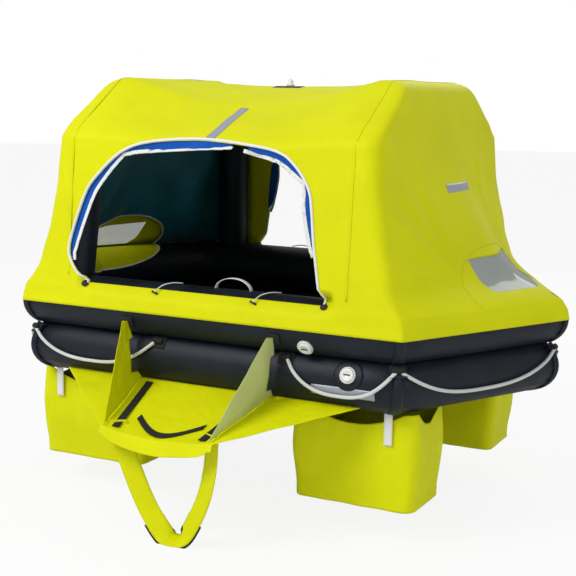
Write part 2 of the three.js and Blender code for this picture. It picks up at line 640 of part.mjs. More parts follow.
function platformPoint(row, col) {
  const v = Math.min(row / PLATFORM_ROWS, 1);
  const wing = WING_COLS;
  let [root, front] = [0, 0];
  if (col <= wing) {
    root = -PLATFORM_HALF + ((PLATFORM_HALF - PLATFORM_MID) * col) / wing;
    front = -PLATFORM_FRONT_HALF - (wing - col) * 6;
  } else if (col >= wing + MID_COLS) {
    const k = col - wing - MID_COLS;
    root = PLATFORM_MID + ((PLATFORM_HALF - PLATFORM_MID) * k) / wing;
    front = PLATFORM_FRONT_HALF + k * 6;
  } else {
    const u = -1 + (2 * (col - wing)) / MID_COLS;
    [root, front] = [PLATFORM_MID * u, PLATFORM_FRONT_HALF * u];
  }
  const x = THREE.MathUtils.lerp(root, front, v);
  const y = THREE.MathUtils.lerp(platformRoot.y, -PLATFORM_FRONT_Y, v);
  const middle = Math.max(0, 1 - (front / PLATFORM_FRONT_HALF) ** 2);
  const z = THREE.MathUtils.lerp(platformRoot.z, PLATFORM_FRONT_Z, v) - 26 * middle * Math.sin(Math.PI * v * 0.6);
  if (row <= PLATFORM_ROWS) return new THREE.Vector3(x, y, z);
  const drop = (row - PLATFORM_ROWS) * PLATFORM_LIP * 0.5;
  return new THREE.Vector3(x, y - drop * 0.25, z - drop * (0.45 + 0.55 * Math.sqrt(middle)));
}

const platformGrid = (lift) => Array.from({ length: PLATFORM_ROWS + 3 }, (_, row) =>
  Array.from({ length: 2 * WING_COLS + MID_COLS + 1 }, (_, col) => {
    const q = platformPoint(row, col);
    return q.setZ(q.z + lift);
  }));
const platform = sheet(platformGrid(0), PLATFORM_T);
add('boarding_platform', shape(solid(platform).subtract(lowerClear)), YELLOW);

// Gussets: upright side walls between the upper tube and the platform's front corners

const ROPE_ROOM = 24;
const ropeClear = solid(hexTube({ ...LOWER, more: ROPE_ROOM }));
for (const [hand, s] of [['left', -1], ['right', 1]]) {
  const top = onNearTube(UPPER, s * GUSSET_X, (Math.asin((GUSSET_Z - UPPER_Z) / TUBE_R) * 180) / Math.PI, -4).at;
  const lift = PLATFORM_T + 4;
  const root = new THREE.Vector3(s * PLATFORM_MID, platformRoot.y + 20, platformRoot.z + lift);
  const front = new THREE.Vector3(s * PLATFORM_FRONT_HALF, -PLATFORM_FRONT_Y, PLATFORM_FRONT_Z + lift);
  const topFront = top.clone().add(new THREE.Vector3(-s * 6, -52, 8));
  const rows = 6;
  const grid = Array.from({ length: rows + 1 }, (_, r) => {
    const back = top.clone().lerp(root, r / rows);
    const ahead = topFront.clone().lerp(front, r / rows);
    return Array.from({ length: 5 }, (_, c) => back.clone().lerp(ahead, c / 4));
  });
  const gusset = solid(sheet(grid, PLATFORM_T)).subtract(ropeClear).subtract(upperClear)
    .subtract(solid(sheet(platformGrid(0), PLATFORM_T + 2 * GAP)));
  add(`gusset_${hand}`, shape(gusset), s < 0 ? YELLOW : CREAM);
}

// Black webbing: beside each gusset's foot and across the platform's front

function ribbon(path, width, thickness, across) {
  const grid = path.map((q, i) => {
    const side = across(i / (path.length - 1)).clone().multiplyScalar(width / 2);
    return [q.clone().sub(side), q.clone(), q.clone().add(side)];
  });
  return sheet(grid, thickness);
}

const onPlatform = (row, col) => {
  const [r, c] = [Math.floor(row), Math.floor(col)];
  const [fr, fc] = [row - r, col - c];
  const top = platformPoint(r, c).lerp(platformPoint(r, Math.min(c + 1, 2 * WING_COLS + MID_COLS)), fc);
  const low = platformPoint(r + 1, c).lerp(platformPoint(r + 1, Math.min(c + 1, 2 * WING_COLS + MID_COLS)), fc);
  return top.lerp(low, fr).add(new THREE.Vector3(0, 0, PLATFORM_T / 2 + GAP + WEB_T / 2 + 1));
};
const platformClear = solid(sheet(platformGrid(0), PLATFORM_T + 2 * GAP));
const X_AXIS = new THREE.Vector3(1, 0, 0);
for (const [hand, col] of [['left', WING_COLS + 0.75], ['right', WING_COLS + MID_COLS - 0.75]]) {
  const path = Array.from({ length: 9 }, (_, i) => onPlatform(0.5 + (i * 5.2) / 8, col));
  const strip = solid(ribbon(path, WEB_W, WEB_T, () => X_AXIS)).subtract(platformClear).subtract(lowerClear);
  add(`platform_webbing_${hand}`, shape(strip), BLACK);
}
const frontPath = Array.from({ length: 13 }, (_, i) => {
  const u = i / 12;
  return onPlatform(4.1 + 1.35 * Math.sin(Math.PI * u), WING_COLS + 1.7 + u * (MID_COLS - 3.4));
});
add('platform_webbing_front', shape(solid(ribbon(frontPath, WEB_W, WEB_T, () => new THREE.Vector3(0, 1, 0)))
  .subtract(platformClear)), BLACK);

// Step loop under the platform's front, with its pad

const STEP_BACK = STEP_W / 2 + 10; // the loop hangs behind the platform's lip
const stepCurve = new THREE.CatmullRomCurve3([
  [-0.87, -0.12], [-0.85, 0.04], [-0.66, 0.3], [-0.34, 0.67], [-0.02, 0.92], [0.22, 1],
  [0.46, 0.92], [0.76, 0.6], [0.9, 0.3], [0.94, 0.04], [0.94, -0.12],
].map(([u, d]) =>
  new THREE.Vector3(u * PLATFORM_FRONT_HALF, -PLATFORM_FRONT_Y + STEP_BACK, PLATFORM_FRONT_Z - d * STEP_DROP)));
const Y_AXIS = new THREE.Vector3(0, 1, 0);
const stepPath = stepCurve.getPoints(30);
add('step_loop', shape(solid(ribbon(stepPath, STEP_W, STEP_T, () => Y_AXIS))
  .subtract(platformClear)), YELLOW);
const padPath = stepCurve.getPoints(60).slice(21, 40).map((q) => q.clone().add(new THREE.Vector3(0, 0, -STEP_T / 2 - 4.5)));
const padSolid = solid(ribbon(padPath, STEP_W + 8, 5, () => Y_AXIS))
  .subtract(solid(ribbon(stepPath, STEP_W + 12, STEP_T + 2 * GAP, () => Y_AXIS)));
add('step_pad', shape(padSolid), BLACK);

// Ballast pockets: open-topped bags hung by their corners, and their hanging straps

function bagRing(x, y, width, depth, radius, z, sag) {
  const outline = new THREE.Path();
  const [w, d, r] = [width / 2, depth / 2, radius];
  outline.moveTo(w, -d + r);
  outline.lineTo(w, d - r);
  outline.absarc(w - r, d - r, r, 0, Math.PI / 2);
  outline.lineTo(-w + r, d);
  outline.absarc(-w + r, d - r, r, Math.PI / 2, Math.PI);
  outline.lineTo(-w, -d + r);
  outline.absarc(-w + r, -d + r, r, Math.PI, 1.5 * Math.PI);
  outline.lineTo(w - r, -d);
  outline.absarc(w - r, -d + r, r, 1.5 * Math.PI, 2 * Math.PI);
  const count = 24;
  return outline.getSpacedPoints(count).slice(0, count).map((q) => {
    const [u, v] = [Math.min(1, Math.abs(q.x) / (w - r)), Math.min(1, Math.abs(q.y) / (d - r))];
    const along = Math.max(1 - u ** 2, 1 - v ** 2) * (u === 1 || v === 1 ? 1 : 0);
    return new THREE.Vector3(x + q.x, y + q.y, z - sag * Math.max(0, along));
  });
}

const POCKET_WALL = 5;
const POCKET_BULGE = 1.08;
const pocketY = HALF_WIDTH - LOWER_INSET - POCKET_D / 2;
function pocket(x, y) {
  const full = [[1.03, 1.05, -POCKET_H], [1.05, POCKET_BULGE, -POCKET_H * 0.6], [1, 1, -GAP]];
  const out = full.map(([w, d, z]) =>
    bagRing(x, y, POCKET_W * w, POCKET_D * d, POCKET_R, z, z > -1 ? POCKET_MOUTH : 0));
  const inner = full.slice().reverse().map(([w, d, z]) =>
    bagRing(x, y, POCKET_W * w - 2 * POCKET_WALL, POCKET_D * d - 2 * POCKET_WALL, POCKET_R - POCKET_WALL,
      z < -POCKET_H + 1 ? z + POCKET_WALL : z, z > -1 ? POCKET_MOUTH : 0));
  return skin([...out, ...inner]);
}
const STRAP_W = 38;
const STRAP_L = 280;
const STRAP_T = 3;
for (const [name, sx, sy] of [['near_right', 1, -1], ['near_left', -1, -1], ['far_right', 1, 1], ['far_left', -1, 1]]) {
  const [x, y] = [sx * POCKET_X, sy * pocketY];
  const bag = solid(pocket(x, y)).subtract(lowerClear);
  add(`pocket_${name}`, shape(bag), YELLOW);
  const strap = new THREE.BoxGeometry(STRAP_W, STRAP_T, STRAP_L);
  strap.translate(x + sx * 0.3 * POCKET_W, sy * (pocketY + POCKET_D * POCKET_BULGE / 2 + STRAP_T), 0);
  add(`pocket_strap_${name}`, shape(solid(strap).subtract(lowerClear)), WHITE);
}

// Valves on the near side, each with a cap that turns in its collar

const VALVE_R = 36;
const CAP_R = 30;
const CAP_H = 13;
const COLLAR_H = 9;
const UPPER_VALVE = onNearTube(UPPER, 520, -36);
const valves = [['upper', UPPER_VALVE, 0, upperClear], ['lower', LOWER_VALVE, VALVE_PATCH_T, null]];
const patchedClear = solid(hexTube({ ...LOWER, more: VALVE_PATCH_T + GAP }));
for (const [name, frame, rise, clear] of valves) {
  const seat = 6;
  const collar = [[0, -seat], [VALVE_R, -seat], [VALVE_R, COLLAR_H - 2], [VALVE_R - 2, COLLAR_H],
    [CAP_R + 1, COLLAR_H], [CAP_R + 1, 3], [0, 3]].map(([r, h]) => [r, h + rise]);
  add(`${name}_valve_collar`, shape(solid(standing(collar, frame)).subtract(clear ?? patchedClear)), WHITE);
  const grip = 7;
  const cap = [[0, 3 + GAP], [CAP_R, 3 + GAP], [CAP_R, CAP_H], [CAP_R - 3, CAP_H + 2], [grip + 4, CAP_H + 2],
    [grip + 3, CAP_H], [0, CAP_H]].map(([r, h]) => [r, h + rise]);
  const bar = new THREE.BoxGeometry(2 * (CAP_R - 6), 5, 6).rotateX(Math.PI / 2).translate(0, CAP_H + rise, 0);
  bar.applyQuaternion(new THREE.Quaternion().setFromUnitVectors(new THREE.Vector3(0, 1, 0), frame.out));
  bar.translate(frame.at.x, frame.at.y, frame.at.z);
  add(`${name}_valve_cap`, shape(solid(standing(cap, frame)).add(solid(bar))), WHITE);
}

// Grab handle inside the near doorway, on the upper tube

const HANDLE_HALF = 88;
const HANDLE_UP = 52;
const HANDLE_X = 110;
const handleBase = onNearTube(UPPER, 0, 92, -4).at;
const handlePath = Array.from({ length: 13 }, (_, i) => {
  const angle = Math.PI * (1 - i / 12);
  return new THREE.Vector3(HANDLE_X + HANDLE_HALF * Math.cos(angle), handleBase.y, handleBase.z + HANDLE_UP * Math.sin(angle));
});
add('grab_handle', shape(solid(ribbon(handlePath, 25, 3, () => Y_AXIS)).subtract(upperClear)), WHITE);

// Lifeline: rope hung in swags round the lower tube between its patches

const SWAG_POWER = 2.6; // how flat a swag's bottom is
const SWAG_DROP = 0.96 * TUBE_R;
const SWAG_STEPS = 16;

function swag(from, to, drop, steps) {
  const points = Array.from({ length: steps + 1 }, (_, i) => {
    const s = i / steps;
    const z = THREE.MathUtils.lerp(from.z, to.z, s) - drop * (1 - Math.abs(2 * s - 1) ** SWAG_POWER);
    const across = Math.sqrt(Math.max(0, (TUBE_R + ROPE_R + ROPE_OFF) ** 2 - (z - LOWER_Z) ** 2));
    const line = from.on.clone().lerp(to.on, s);
    const out = from.out.clone().lerp(to.out, s).normalize();
    return new THREE.Vector3(line.x + out.x * across, line.y + out.y * across, z);
  });
  return points;
}

function rope(points) {
  const sides = 6;
  const section = new THREE.Shape(Array.from({ length: sides }, (_, k) => {
    const angle = (2 * Math.PI * (k + 0.5)) / sides;
    return new THREE.Vector2(ROPE_R * Math.cos(angle), ROPE_R * Math.sin(angle));
  }));
  const path = new THREE.CatmullRomCurve3(points);
  const steps = Math.round(path.getLength() / (7 * ROPE_R));
  return new THREE.ExtrudeGeometry(section, { steps, bevelEnabled: false, extrudePath: path });
}

// The rope's end beside patch i, on the side towards the next (+1) or the last (-1) corner
function ropeEnd(i, towards) {
  const n = lowerCorners.length;
  const corner = lowerCorners[((i % n) + n) % n];
  const next = lowerCorners[(((i + towards) % n) + n) % n];
  const along = next.clone().sub(corner).normalize();
  const out = towards > 0 ? new THREE.Vector2(along.y, -along.x) : new THREE.Vector2(-along.y, along.x);
  const z = LOWER_Z + TUBE_R * Math.sin(THREE.MathUtils.degToRad(ROPE_DEG));
  const reach = Math.sqrt((TUBE_R + ROPE_R + ROPE_OFF) ** 2 - (z - LOWER_Z) ** 2);
  const other = corner.clone().sub(lowerCorners[(((i - towards) % n) + n) % n]).normalize();
  const start = PATCH_X / 4 - reach * Math.tan(Math.acos(along.dot(other)) / 2);
  return { on: corner.clone().addScaledVector(along, start), out, z };
}

// The rope's end beside a patch halfway along a side, on the side towards +X (+1) or -X (-1)
function midEnd({ x, side }, towards) {
  const { at, out } = midFrame({ x, side });
  const on = new THREE.Vector2(x + (towards * PATCH_X) / 4, side * (HALF_WIDTH - LOWER_INSET));
  return { on, out: new THREE.Vector2(out.x, out.y), z: at.z };
}

const SWAGS = [
  ['near_left', ropeEnd(0, 1), midEnd(NEAR_LEFT_PATCH, -1), SWAG_DROP - 2],
  ['near_right', midEnd(NEAR_RIGHT_PATCH, 1), ropeEnd(1, -1), SWAG_DROP + 8],
  ['right_near', ropeEnd(1, 1), ropeEnd(2, -1), SWAG_DROP],
  ['right_far', ropeEnd(2, 1), ropeEnd(3, -1), SWAG_DROP],
  ['far_right', ropeEnd(3, 1), midEnd(FAR_PATCH, 1), SWAG_DROP],
  ['far_left', midEnd(FAR_PATCH, -1), ropeEnd(4, -1), SWAG_DROP],
  ['left_far', ropeEnd(4, 1), ropeEnd(5, -1), SWAG_DROP],
  ['left_near', ropeEnd(5, 1), ropeEnd(0, -1), SWAG_DROP],
];
const patchesClear = patchFrames.reduce(
  (all, frame) => all.add(solid(ropePatch(frame, GAP))), solid(ropePatch(patchFrames[0], GAP)));
for (const [name, from, to, drop] of SWAGS) {
  add(`lifeline_${name}`, shape(solid(rope(swag(from, to, drop, SWAG_STEPS))).subtract(patchesClear)), WHITE);
}

// Gas cylinder under the floor on the far side, its head, its two slings and a hose to the lower tube

const CYL_R = 55;
const CYL_HALF = 230;
const CYL_Y = 250;
const SLING_T = 3;
const cylZ = -CYL_R - SLING_T - 2 * GAP;
const cylProfile = [[0, -CYL_HALF], [30, -CYL_HALF], [CYL_R - 6, -CYL_HALF + 14], [CYL_R, -CYL_HALF + 38],
  [CYL_R, CYL_HALF - 50], [CYL_R - 14, CYL_HALF - 20], [22, CYL_HALF - 4], [22, CYL_HALF], [0, CYL_HALF]];
const lathe = (profile, sides) => {
  const geometry = new THREE.LatheGeometry(profile.map(([r, h]) => new THREE.Vector2(r, h)), sides);
  return geometry.rotateZ(-Math.PI / 2).translate(0, CYL_Y, cylZ);
};
add('gas_cylinder', lathe(cylProfile, 20), STEEL);
const headProfile = [[0, CYL_HALF + GAP], [24, CYL_HALF + GAP], [24, CYL_HALF + 22], [17, CYL_HALF + 28],
  [17, CYL_HALF + 52], [0, CYL_HALF + 52]];
add('cylinder_head', lathe(headProfile, 14), STEEL);
for (const [hand, x] of [['left', -130], ['right', 110]]) {
  const rings = [CYL_R + GAP, CYL_R + GAP + SLING_T];
  const outline = (r) => Array.from({ length: 17 }, (_, k) => {
    const angle = Math.PI + (Math.PI * k) / 16;
    return [CYL_Y + r * Math.cos(angle), cylZ + r * Math.sin(angle)];
  });
  const top = -GAP;
  const section = [[CYL_Y - rings[1], top], ...outline(rings[1]), [CYL_Y + rings[1], top],
    [CYL_Y + rings[0], top], ...outline(rings[0]).reverse(), [CYL_Y - rings[0], top]];
  add(`cylinder_sling_${hand}`, tidy(prismX(section, x - 22, x + 22)), BLACK);
}

export default raft;
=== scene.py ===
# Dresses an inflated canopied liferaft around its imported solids.
# Metres, in the part's own frame: X along the doorways, Y across the raft, Z up from the floor's underside.
import math

import bmesh
import bpy
from mathutils import Matrix, Vector, noise
from mathutils.bvhtree import BVHTree


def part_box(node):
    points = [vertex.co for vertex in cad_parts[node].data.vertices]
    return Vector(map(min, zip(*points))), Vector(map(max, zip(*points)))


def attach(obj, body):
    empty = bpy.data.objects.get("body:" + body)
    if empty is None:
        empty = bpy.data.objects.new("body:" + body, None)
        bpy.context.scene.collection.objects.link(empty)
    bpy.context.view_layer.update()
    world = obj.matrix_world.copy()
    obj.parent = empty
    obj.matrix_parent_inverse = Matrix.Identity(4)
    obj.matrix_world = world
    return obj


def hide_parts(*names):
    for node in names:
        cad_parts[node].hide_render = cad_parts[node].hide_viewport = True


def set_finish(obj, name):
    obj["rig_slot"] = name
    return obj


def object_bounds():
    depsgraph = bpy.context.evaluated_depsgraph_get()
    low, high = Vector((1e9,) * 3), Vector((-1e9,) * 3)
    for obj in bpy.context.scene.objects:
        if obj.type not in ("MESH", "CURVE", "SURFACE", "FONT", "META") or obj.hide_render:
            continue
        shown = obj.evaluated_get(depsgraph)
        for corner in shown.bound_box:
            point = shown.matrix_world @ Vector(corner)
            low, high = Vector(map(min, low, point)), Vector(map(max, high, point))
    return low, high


bl_info = {
    "name": "Inflated Liferaft",
    "version": (1, 0, 0),
    "blender": (4, 5, 0),
    "location": "View3D > Sidebar > Liferaft",
    "description": "Makes the tubes, canopy, platform, pockets and fittings of an inflated liferaft",
    "category": "Object",
}

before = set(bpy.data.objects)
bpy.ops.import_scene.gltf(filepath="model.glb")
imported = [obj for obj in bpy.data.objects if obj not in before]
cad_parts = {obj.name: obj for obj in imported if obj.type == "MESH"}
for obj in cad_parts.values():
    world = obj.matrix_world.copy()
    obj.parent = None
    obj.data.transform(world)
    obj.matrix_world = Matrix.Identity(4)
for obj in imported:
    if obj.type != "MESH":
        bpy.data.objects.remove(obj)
CAD_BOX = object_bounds()
RAFT = "raft"

# Hull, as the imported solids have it
GAP = 0.0003
TUBE_R = 0.125
TUBE_SEAT = 0.110
SIDE_HALF = 0.890
HALF_WIDTH = 0.748
TIP = 1.284
LOWER_INSET = 0.030
LOWER_Z = TUBE_R
UPPER_Z = TUBE_R + 2 * TUBE_SEAT + GAP
HULL_TOP = UPPER_Z + TUBE_R
LEAN = math.atan2(TIP - SIDE_HALF, HALF_WIDTH)

# Arches and canopy
ARCH_R = 0.085
ARCH_FOOT_X = 0.742
ARCH_TOP_X = 0.698
ARCH_EDGE = ARCH_TOP_X + ARCH_R
FABRIC = 0.006
FLAP_SPACE = 0.015
WALL_FOOT = (0.862, 0.460)
KNEE = (0.800, 1.145)
SHOULDER_Y = 0.420
ROOF_Z = 1.398
ROOF_SAG = 0.030
SHOULDER_SAG = 0.118
SAG_HALF = 0.640
HEM_Z = 0.345
SILL_Z = 0.452
SILL_HALF = 0.612
DOOR_BULGE = 0.702
DOOR_RIGHT = 0.535

# Window, liner and platform
WINDOW_HALF = 0.275
WINDOW_LOW = 0.484
WINDOW_HIGH = 0.616
LINER_IN = 0.036
PLATFORM_HALF = 0.760
PLATFORM_MID = 0.345
PLATFORM_FRONT_HALF = 0.262
PLATFORM_FRONT_Y = 1.215
PLATFORM_FRONT_Z = -0.098
PLATFORM_LIP = 0.062
PLATFORM_SEAT = math.radians(-50)
PLATFORM_T = 0.005
GUSSET_X = 0.375
GUSSET_Z = 0.300
STEP_DROP = 0.470

# Pockets and rope
POCKET_W = 0.570
POCKET_D = 0.350
POCKET_H = 0.435
POCKET_X = 0.690
POCKET_MOUTH = 0.066
POCKET_R = 0.045
ROPE_R = 0.008
ROPE_OFF = 0.006
ROPE_ANGLE = math.radians(40)
SWAG_POWER = 2.6
PATCH_X = 0.060
MID_PATCHES = ((-0.240, -1), (0.412, -1), (0.0, 1))

# Camera: where the photograph was taken from
CAMERA_AT = (2.698, -5.331, 1.324)
CAMERA_YAW = 0.468
CAMERA_PITCH = 0.159
CAMERA_ROLL = 0.016
CAMERA_LENS = 75

# Stage: area lamps as name, place, size and power, the world's light and the floor's own white
LAMPS = (
    ("key", (-2.6, -5.4, 5.2), 3.0, 300),
    ("fill", (6.0, -3.5, 3.4), 4.0, 70),
    ("back", (0.0, 6.0, 4.5), 4.0, 120),
)
WORLD_LIGHT = 0.50
FLOOR_GLOW = 0.88
HALF_TURN = Matrix.Rotation(math.pi, 4, "Z")


def length_property(name, description, default):
    return bpy.props.FloatProperty(name=name, description=description, default=default, unit="LENGTH")


def colour_property(name, description, default):
    return bpy.props.FloatVectorProperty(
        name=name, description=description, default=default, size=4, min=0, max=1, subtype="COLOR"
    )


class RaftSizes(bpy.types.PropertyGroup):
    """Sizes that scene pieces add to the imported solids"""

    rope: length_property("Rope", "Diameter of the lifeline", 2 * ROPE_R)
    tape: length_property("Tape", "Width of the reflective tape", 0.048)
    piping: length_property("Piping", "Diameter of the piping round a doorway", 0.012)
    seam: length_property("Seam", "Width of a sewn seam on the canopy", 0.009)
    fold: length_property("Folds", "Depth of the canopy's larger folds", 0.007)


class RaftColours(bpy.types.PropertyGroup):
    """Base colours of the raft's materials"""

    canopy: colour_property("Canopy", "Coated canopy cloth", (0.70, 0.72, 0.0, 1))
    pocket: colour_property("Pockets", "Cloth of the pockets and the platform", (0.72, 0.75, 0.0, 1))
    cream: colour_property("Back of cloth", "Pale back of the coated cloth", (0.56, 0.62, 0.24, 1))
    rubber: colour_property("Tubes", "Rubber-coated tube cloth", (0.005, 0.009, 0.017, 1))
    liner: colour_property("Liner", "Thin inner lining", (0.0, 0.14, 0.20, 1))
    flap: colour_property("Flaps", "Gathered doorway flaps", (0.0, 0.085, 0.46, 1))
    white: colour_property("White", "White webbing, piping and plastic", (0.78, 0.78, 0.76, 1))
    rope: colour_property("Rope", "Braided lifeline", (0.66, 0.67, 0.66, 1))
    black: colour_property("Black", "Black webbing and plastic", (0.010, 0.010, 0.012, 1))
    tape: colour_property("Tape", "Reflective tape", (0.42, 0.44, 0.50, 1))
    film: colour_property("Window", "Clear window film", (0.20, 0.21, 0.17, 1))
    steel: colour_property("Cylinder", "Painted gas cylinder", (0.42, 0.43, 0.45, 1))


# Materials


def colours():
    return bpy.context.scene.raft_colours


def sizes():
    return bpy.context.scene.raft_sizes


def feed(tree, node, inputs):
    """Sets a node's inputs: linked where a socket is given, otherwise to the value"""
    for key, value in inputs.items():
        if isinstance(value, bpy.types.NodeSocket):
            tree.links.new(value, node.inputs[key])
        else:
            node.inputs[key].default_value = value
    return node


def add(tree, kind, inputs, **settings):
    """A new shader node with its settings and inputs"""
    node = tree.nodes.new(f"ShaderNode{kind}")
    for key, value in settings.items():
        setattr(node, key, value)
    return feed(tree, node, inputs)


def coordinates(tree, scale, stretch=(1, 1, 1)):
    """Object coordinates, scaled and stretched"""
    source = add(tree, "TexCoord", {}).outputs["Object"]
    return add(tree, "Mapping", {"Vector": source, "Scale": [scale * s for s in stretch]}).outputs["Vector"]


def noise_field(tree, scale, detail=3.0, stretch=(1, 1, 1)):
    inputs = {"Vector": coordinates(tree, scale, stretch), "Scale": 1.0, "Detail": detail}
    return add(tree, "TexNoise", inputs).outputs["Fac"]


def thread_field(tree, pitch):
    """The threads of a weave: fine bands crossed along three directions"""
    total = None
    for direction in ("X", "Z", "Y"):
        inputs = {"Vector": coordinates(tree, 0.314 / pitch), "Scale": 1.0, "Distortion": 0.4}
        wave = add(tree, "TexWave", inputs, bands_direction=direction).outputs["Fac"]
        total = wave if total is None else add(tree, "Math", {0: total, 1: wave}, operation="ADD").outputs["Value"]
    return total


def bump(tree, height, distance, strength, below=None):
    inputs = {"Height": height, "Distance": distance, "Strength": strength}
    if below is not None:
        inputs["Normal"] = below
    return add(tree, "Bump", inputs).outputs["Normal"]


def shaded(tree, colour, factor, spread):
    """The colour, darker and lighter by a share as the factor runs from 0 to 1"""
    ramp = add(tree, "ValToRGB", {"Fac": factor})
    for element, position, share in zip(ramp.color_ramp.elements, (0.3, 0.7), (1 - spread, 1 + spread)):
        element.position = position
        element.color = [min(1, c * share) for c in colour[:3]] + [1]
    return ramp.outputs["Color"]


def cloth(tree, colour, roughness, weave=0.0012, crease=0.0, crease_scale=9, spread=0.05, sheen=0.0):
    """Woven cloth: threads, a soft crumple and a slow change of shade"""
    normal = bump(tree, thread_field(tree, weave), 0.0002, 0.35)
    if crease:
        normal = bump(tree, noise_field(tree, crease_scale, 2.5, (1, 1, 0.55)), crease, 0.8, normal)
    shade = shaded(tree, colour, noise_field(tree, 4.0, 4.0), spread)
    return {
        "Base Color": shade, "Roughness": roughness, "Specular IOR Level": 0.15, "Sheen Weight": sheen,
        "Normal": normal,
    }


def moulded(tree, colour, roughness, metallic=0.0):
    """Moulded plastic or painted metal, with a fine grain"""
    shade = shaded(tree, colour, noise_field(tree, 30), 0.05)
    grain = bump(tree, noise_field(tree, 500), 0.0003, 0.3)
    return {"Base Color": shade, "Roughness": roughness, "Metallic": metallic, "Normal": grain}


def coated(tree, colour):
    """Rubber-coated cloth, satin, with a faint cloth print and dusty marks"""
    marks = noise_field(tree, 6.0, 6.0)
    rough = add(tree, "MapRange", {"Value": marks, "To Min": 0.42, "To Max": 0.60}).outputs["Result"]
    weave = bump(tree, thread_field(tree, 0.0016), 0.00015, 0.3)
    normal = bump(tree, noise_field(tree, 14, 3.0), 0.004, 0.5, weave)
    shade = shaded(tree, colour, marks, 0.35)
    return {"Base Color": shade, "Roughness": rough, "Specular IOR Level": 0.30, "Normal": normal}


def prismatic(tree, colour):
    """Silver tape with the fine cells of its prisms"""
    inputs = {"Vector": coordinates(tree, 260), "Scale": 1.0}
    cells = add(tree, "TexVoronoi", inputs, feature="DISTANCE_TO_EDGE").outputs["Distance"]
    shade = shaded(tree, colour, cells, 0.12)
    return {"Base Color": shade, "Roughness": 0.38, "Metallic": 0.25, "Normal": bump(tree, cells, 0.0002, 0.4)}


def clear(tree, colour):
    """Clear film that has gone slightly milky and wavy"""
    shade = shaded(tree, colour, noise_field(tree, 16, 4.0), 0.25)
    waves = bump(tree, noise_field(tree, 22, 3.0), 0.012, 0.9)
    return {
        "Base Color": shade, "Roughness": 0.12, "Alpha": 0.42, "Specular IOR Level": 0.9, "Coat Weight": 0.6,
        "Coat Roughness": 0.06, "Normal": waves,
    }


# Each look: its slot, its colour's name, what dresses it, and that function's settings
LOOKS = {
    "canopy_cloth": (
        "canopy_fabric", "canopy", cloth, {"roughness": 0.62, "crease": 0.006, "crease_scale": 7, "spread": 0.035}
    ),
    "pocket_cloth": ("pocket_fabric", "pocket", cloth, {"roughness": 0.6, "crease": 0.009, "crease_scale": 12}),
    "cream_cloth": (
        "cream_fabric", "cream", cloth, {"roughness": 0.65, "crease": 0.006, "crease_scale": 12, "spread": 0.08}
    ),
    "liner_cloth": (
        "liner_fabric", "liner", cloth,
        {"roughness": 0.55, "crease": 0.012, "crease_scale": 8, "spread": 0.25, "sheen": 0.1},
    ),
    "flap_cloth": (
        "flap_fabric", "flap", cloth,
        {"roughness": 0.5, "crease": 0.006, "crease_scale": 18, "spread": 0.2, "sheen": 0.1},
    ),
    "white_webbing": ("white_webbing", "white", cloth, {"roughness": 0.6, "weave": 0.0022, "spread": 0.04}),
    "black_webbing": ("black_webbing", "black", cloth, {"roughness": 0.6, "weave": 0.0024, "spread": 0.3}),
    "rope_braid": ("white_rope", "rope", cloth, {"roughness": 0.7, "weave": 0.0040, "spread": 0.08}),
    "black_plastic": ("black_plastic", "black", moulded, {"roughness": 0.4}),
    "white_plastic": ("white_plastic", "white", moulded, {"roughness": 0.32}),
    "cylinder_paint": ("cylinder_steel", "steel", moulded, {"roughness": 0.35, "metallic": 0.3}),
    "tube_rubber": ("rubber_coated_fabric", "rubber", coated, {}),
    "reflective_tape": ("white_webbing", "tape", prismatic, {}),
    "window_film": ("window_film", "film", clear, {}),
}


def material_of(look):
    """The material of a look, made when it is first asked for"""
    material = bpy.data.materials.get(look)
    if not material:
        material = bpy.data.materials.new(look)
        material.use_nodes = True
        tree = material.node_tree
        _, colour, dress, settings = LOOKS[look]
        feed(tree, tree.nodes["Principled BSDF"], dress(tree, getattr(colours(), colour), **settings))
    return material


# Meshes


def mesh_of(name, bm):
    mesh = bpy.data.meshes.new(name)
    bm.to_mesh(mesh)
    bm.free()
    return mesh


def fastened(piece, slot, replaces, body=RAFT):
    """Links a piece, and says what it rides on, its slot and the nodes that it replaces"""
    bpy.context.scene.collection.objects.link(piece)
    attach(piece, body)
    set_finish(piece, slot)
    if replaces:
        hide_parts(*replaces)
    return piece


def thicken(piece, thickness, offset):
    wall = piece.modifiers.new("wall", "SOLIDIFY")
    wall.thickness = thickness
    wall.offset = offset
    wall.use_even_offset = False


def show(name, bm, look, replaces=(), thickness=0.0, offset=0.0, body=RAFT):
    """Makes a piece of a bmesh in a look, as a wall where it has a thickness"""
    mesh = mesh_of(name, bm)
    mesh.polygons.foreach_set("use_smooth", [True] * len(mesh.polygons))
    mesh.materials.append(material_of(look))
    piece = bpy.data.objects.new(name, mesh)
    if thickness:
        thicken(piece, thickness, offset)
    return fastened(piece, LOOKS[look][0], replaces, body)


def both(name, bm, look, replaces="", **wall):
    """A piece and its twin turned half round: near becomes far, and otherwise right becomes left"""
    word, twin = ("near", "far") if "near" in name else ("right", "left")
    piece = show(name, bm, look, replaces=[replaces] if replaces else (), **wall)
    turned(piece, name.replace(word, twin), [replaces.replace(word, twin)] if replaces else ())


def turned(piece, name, replaces=()):
    """The same piece on the other side of the raft, turned half round about Z"""
    mesh = piece.data.copy()
    mesh.name = name
    mesh.transform(HALF_TURN)
    other = bpy.data.objects.new(name, mesh)
    for wall in piece.modifiers:
        thicken(other, wall.thickness, wall.offset)
    return fastened(other, piece["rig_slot"], replaces)


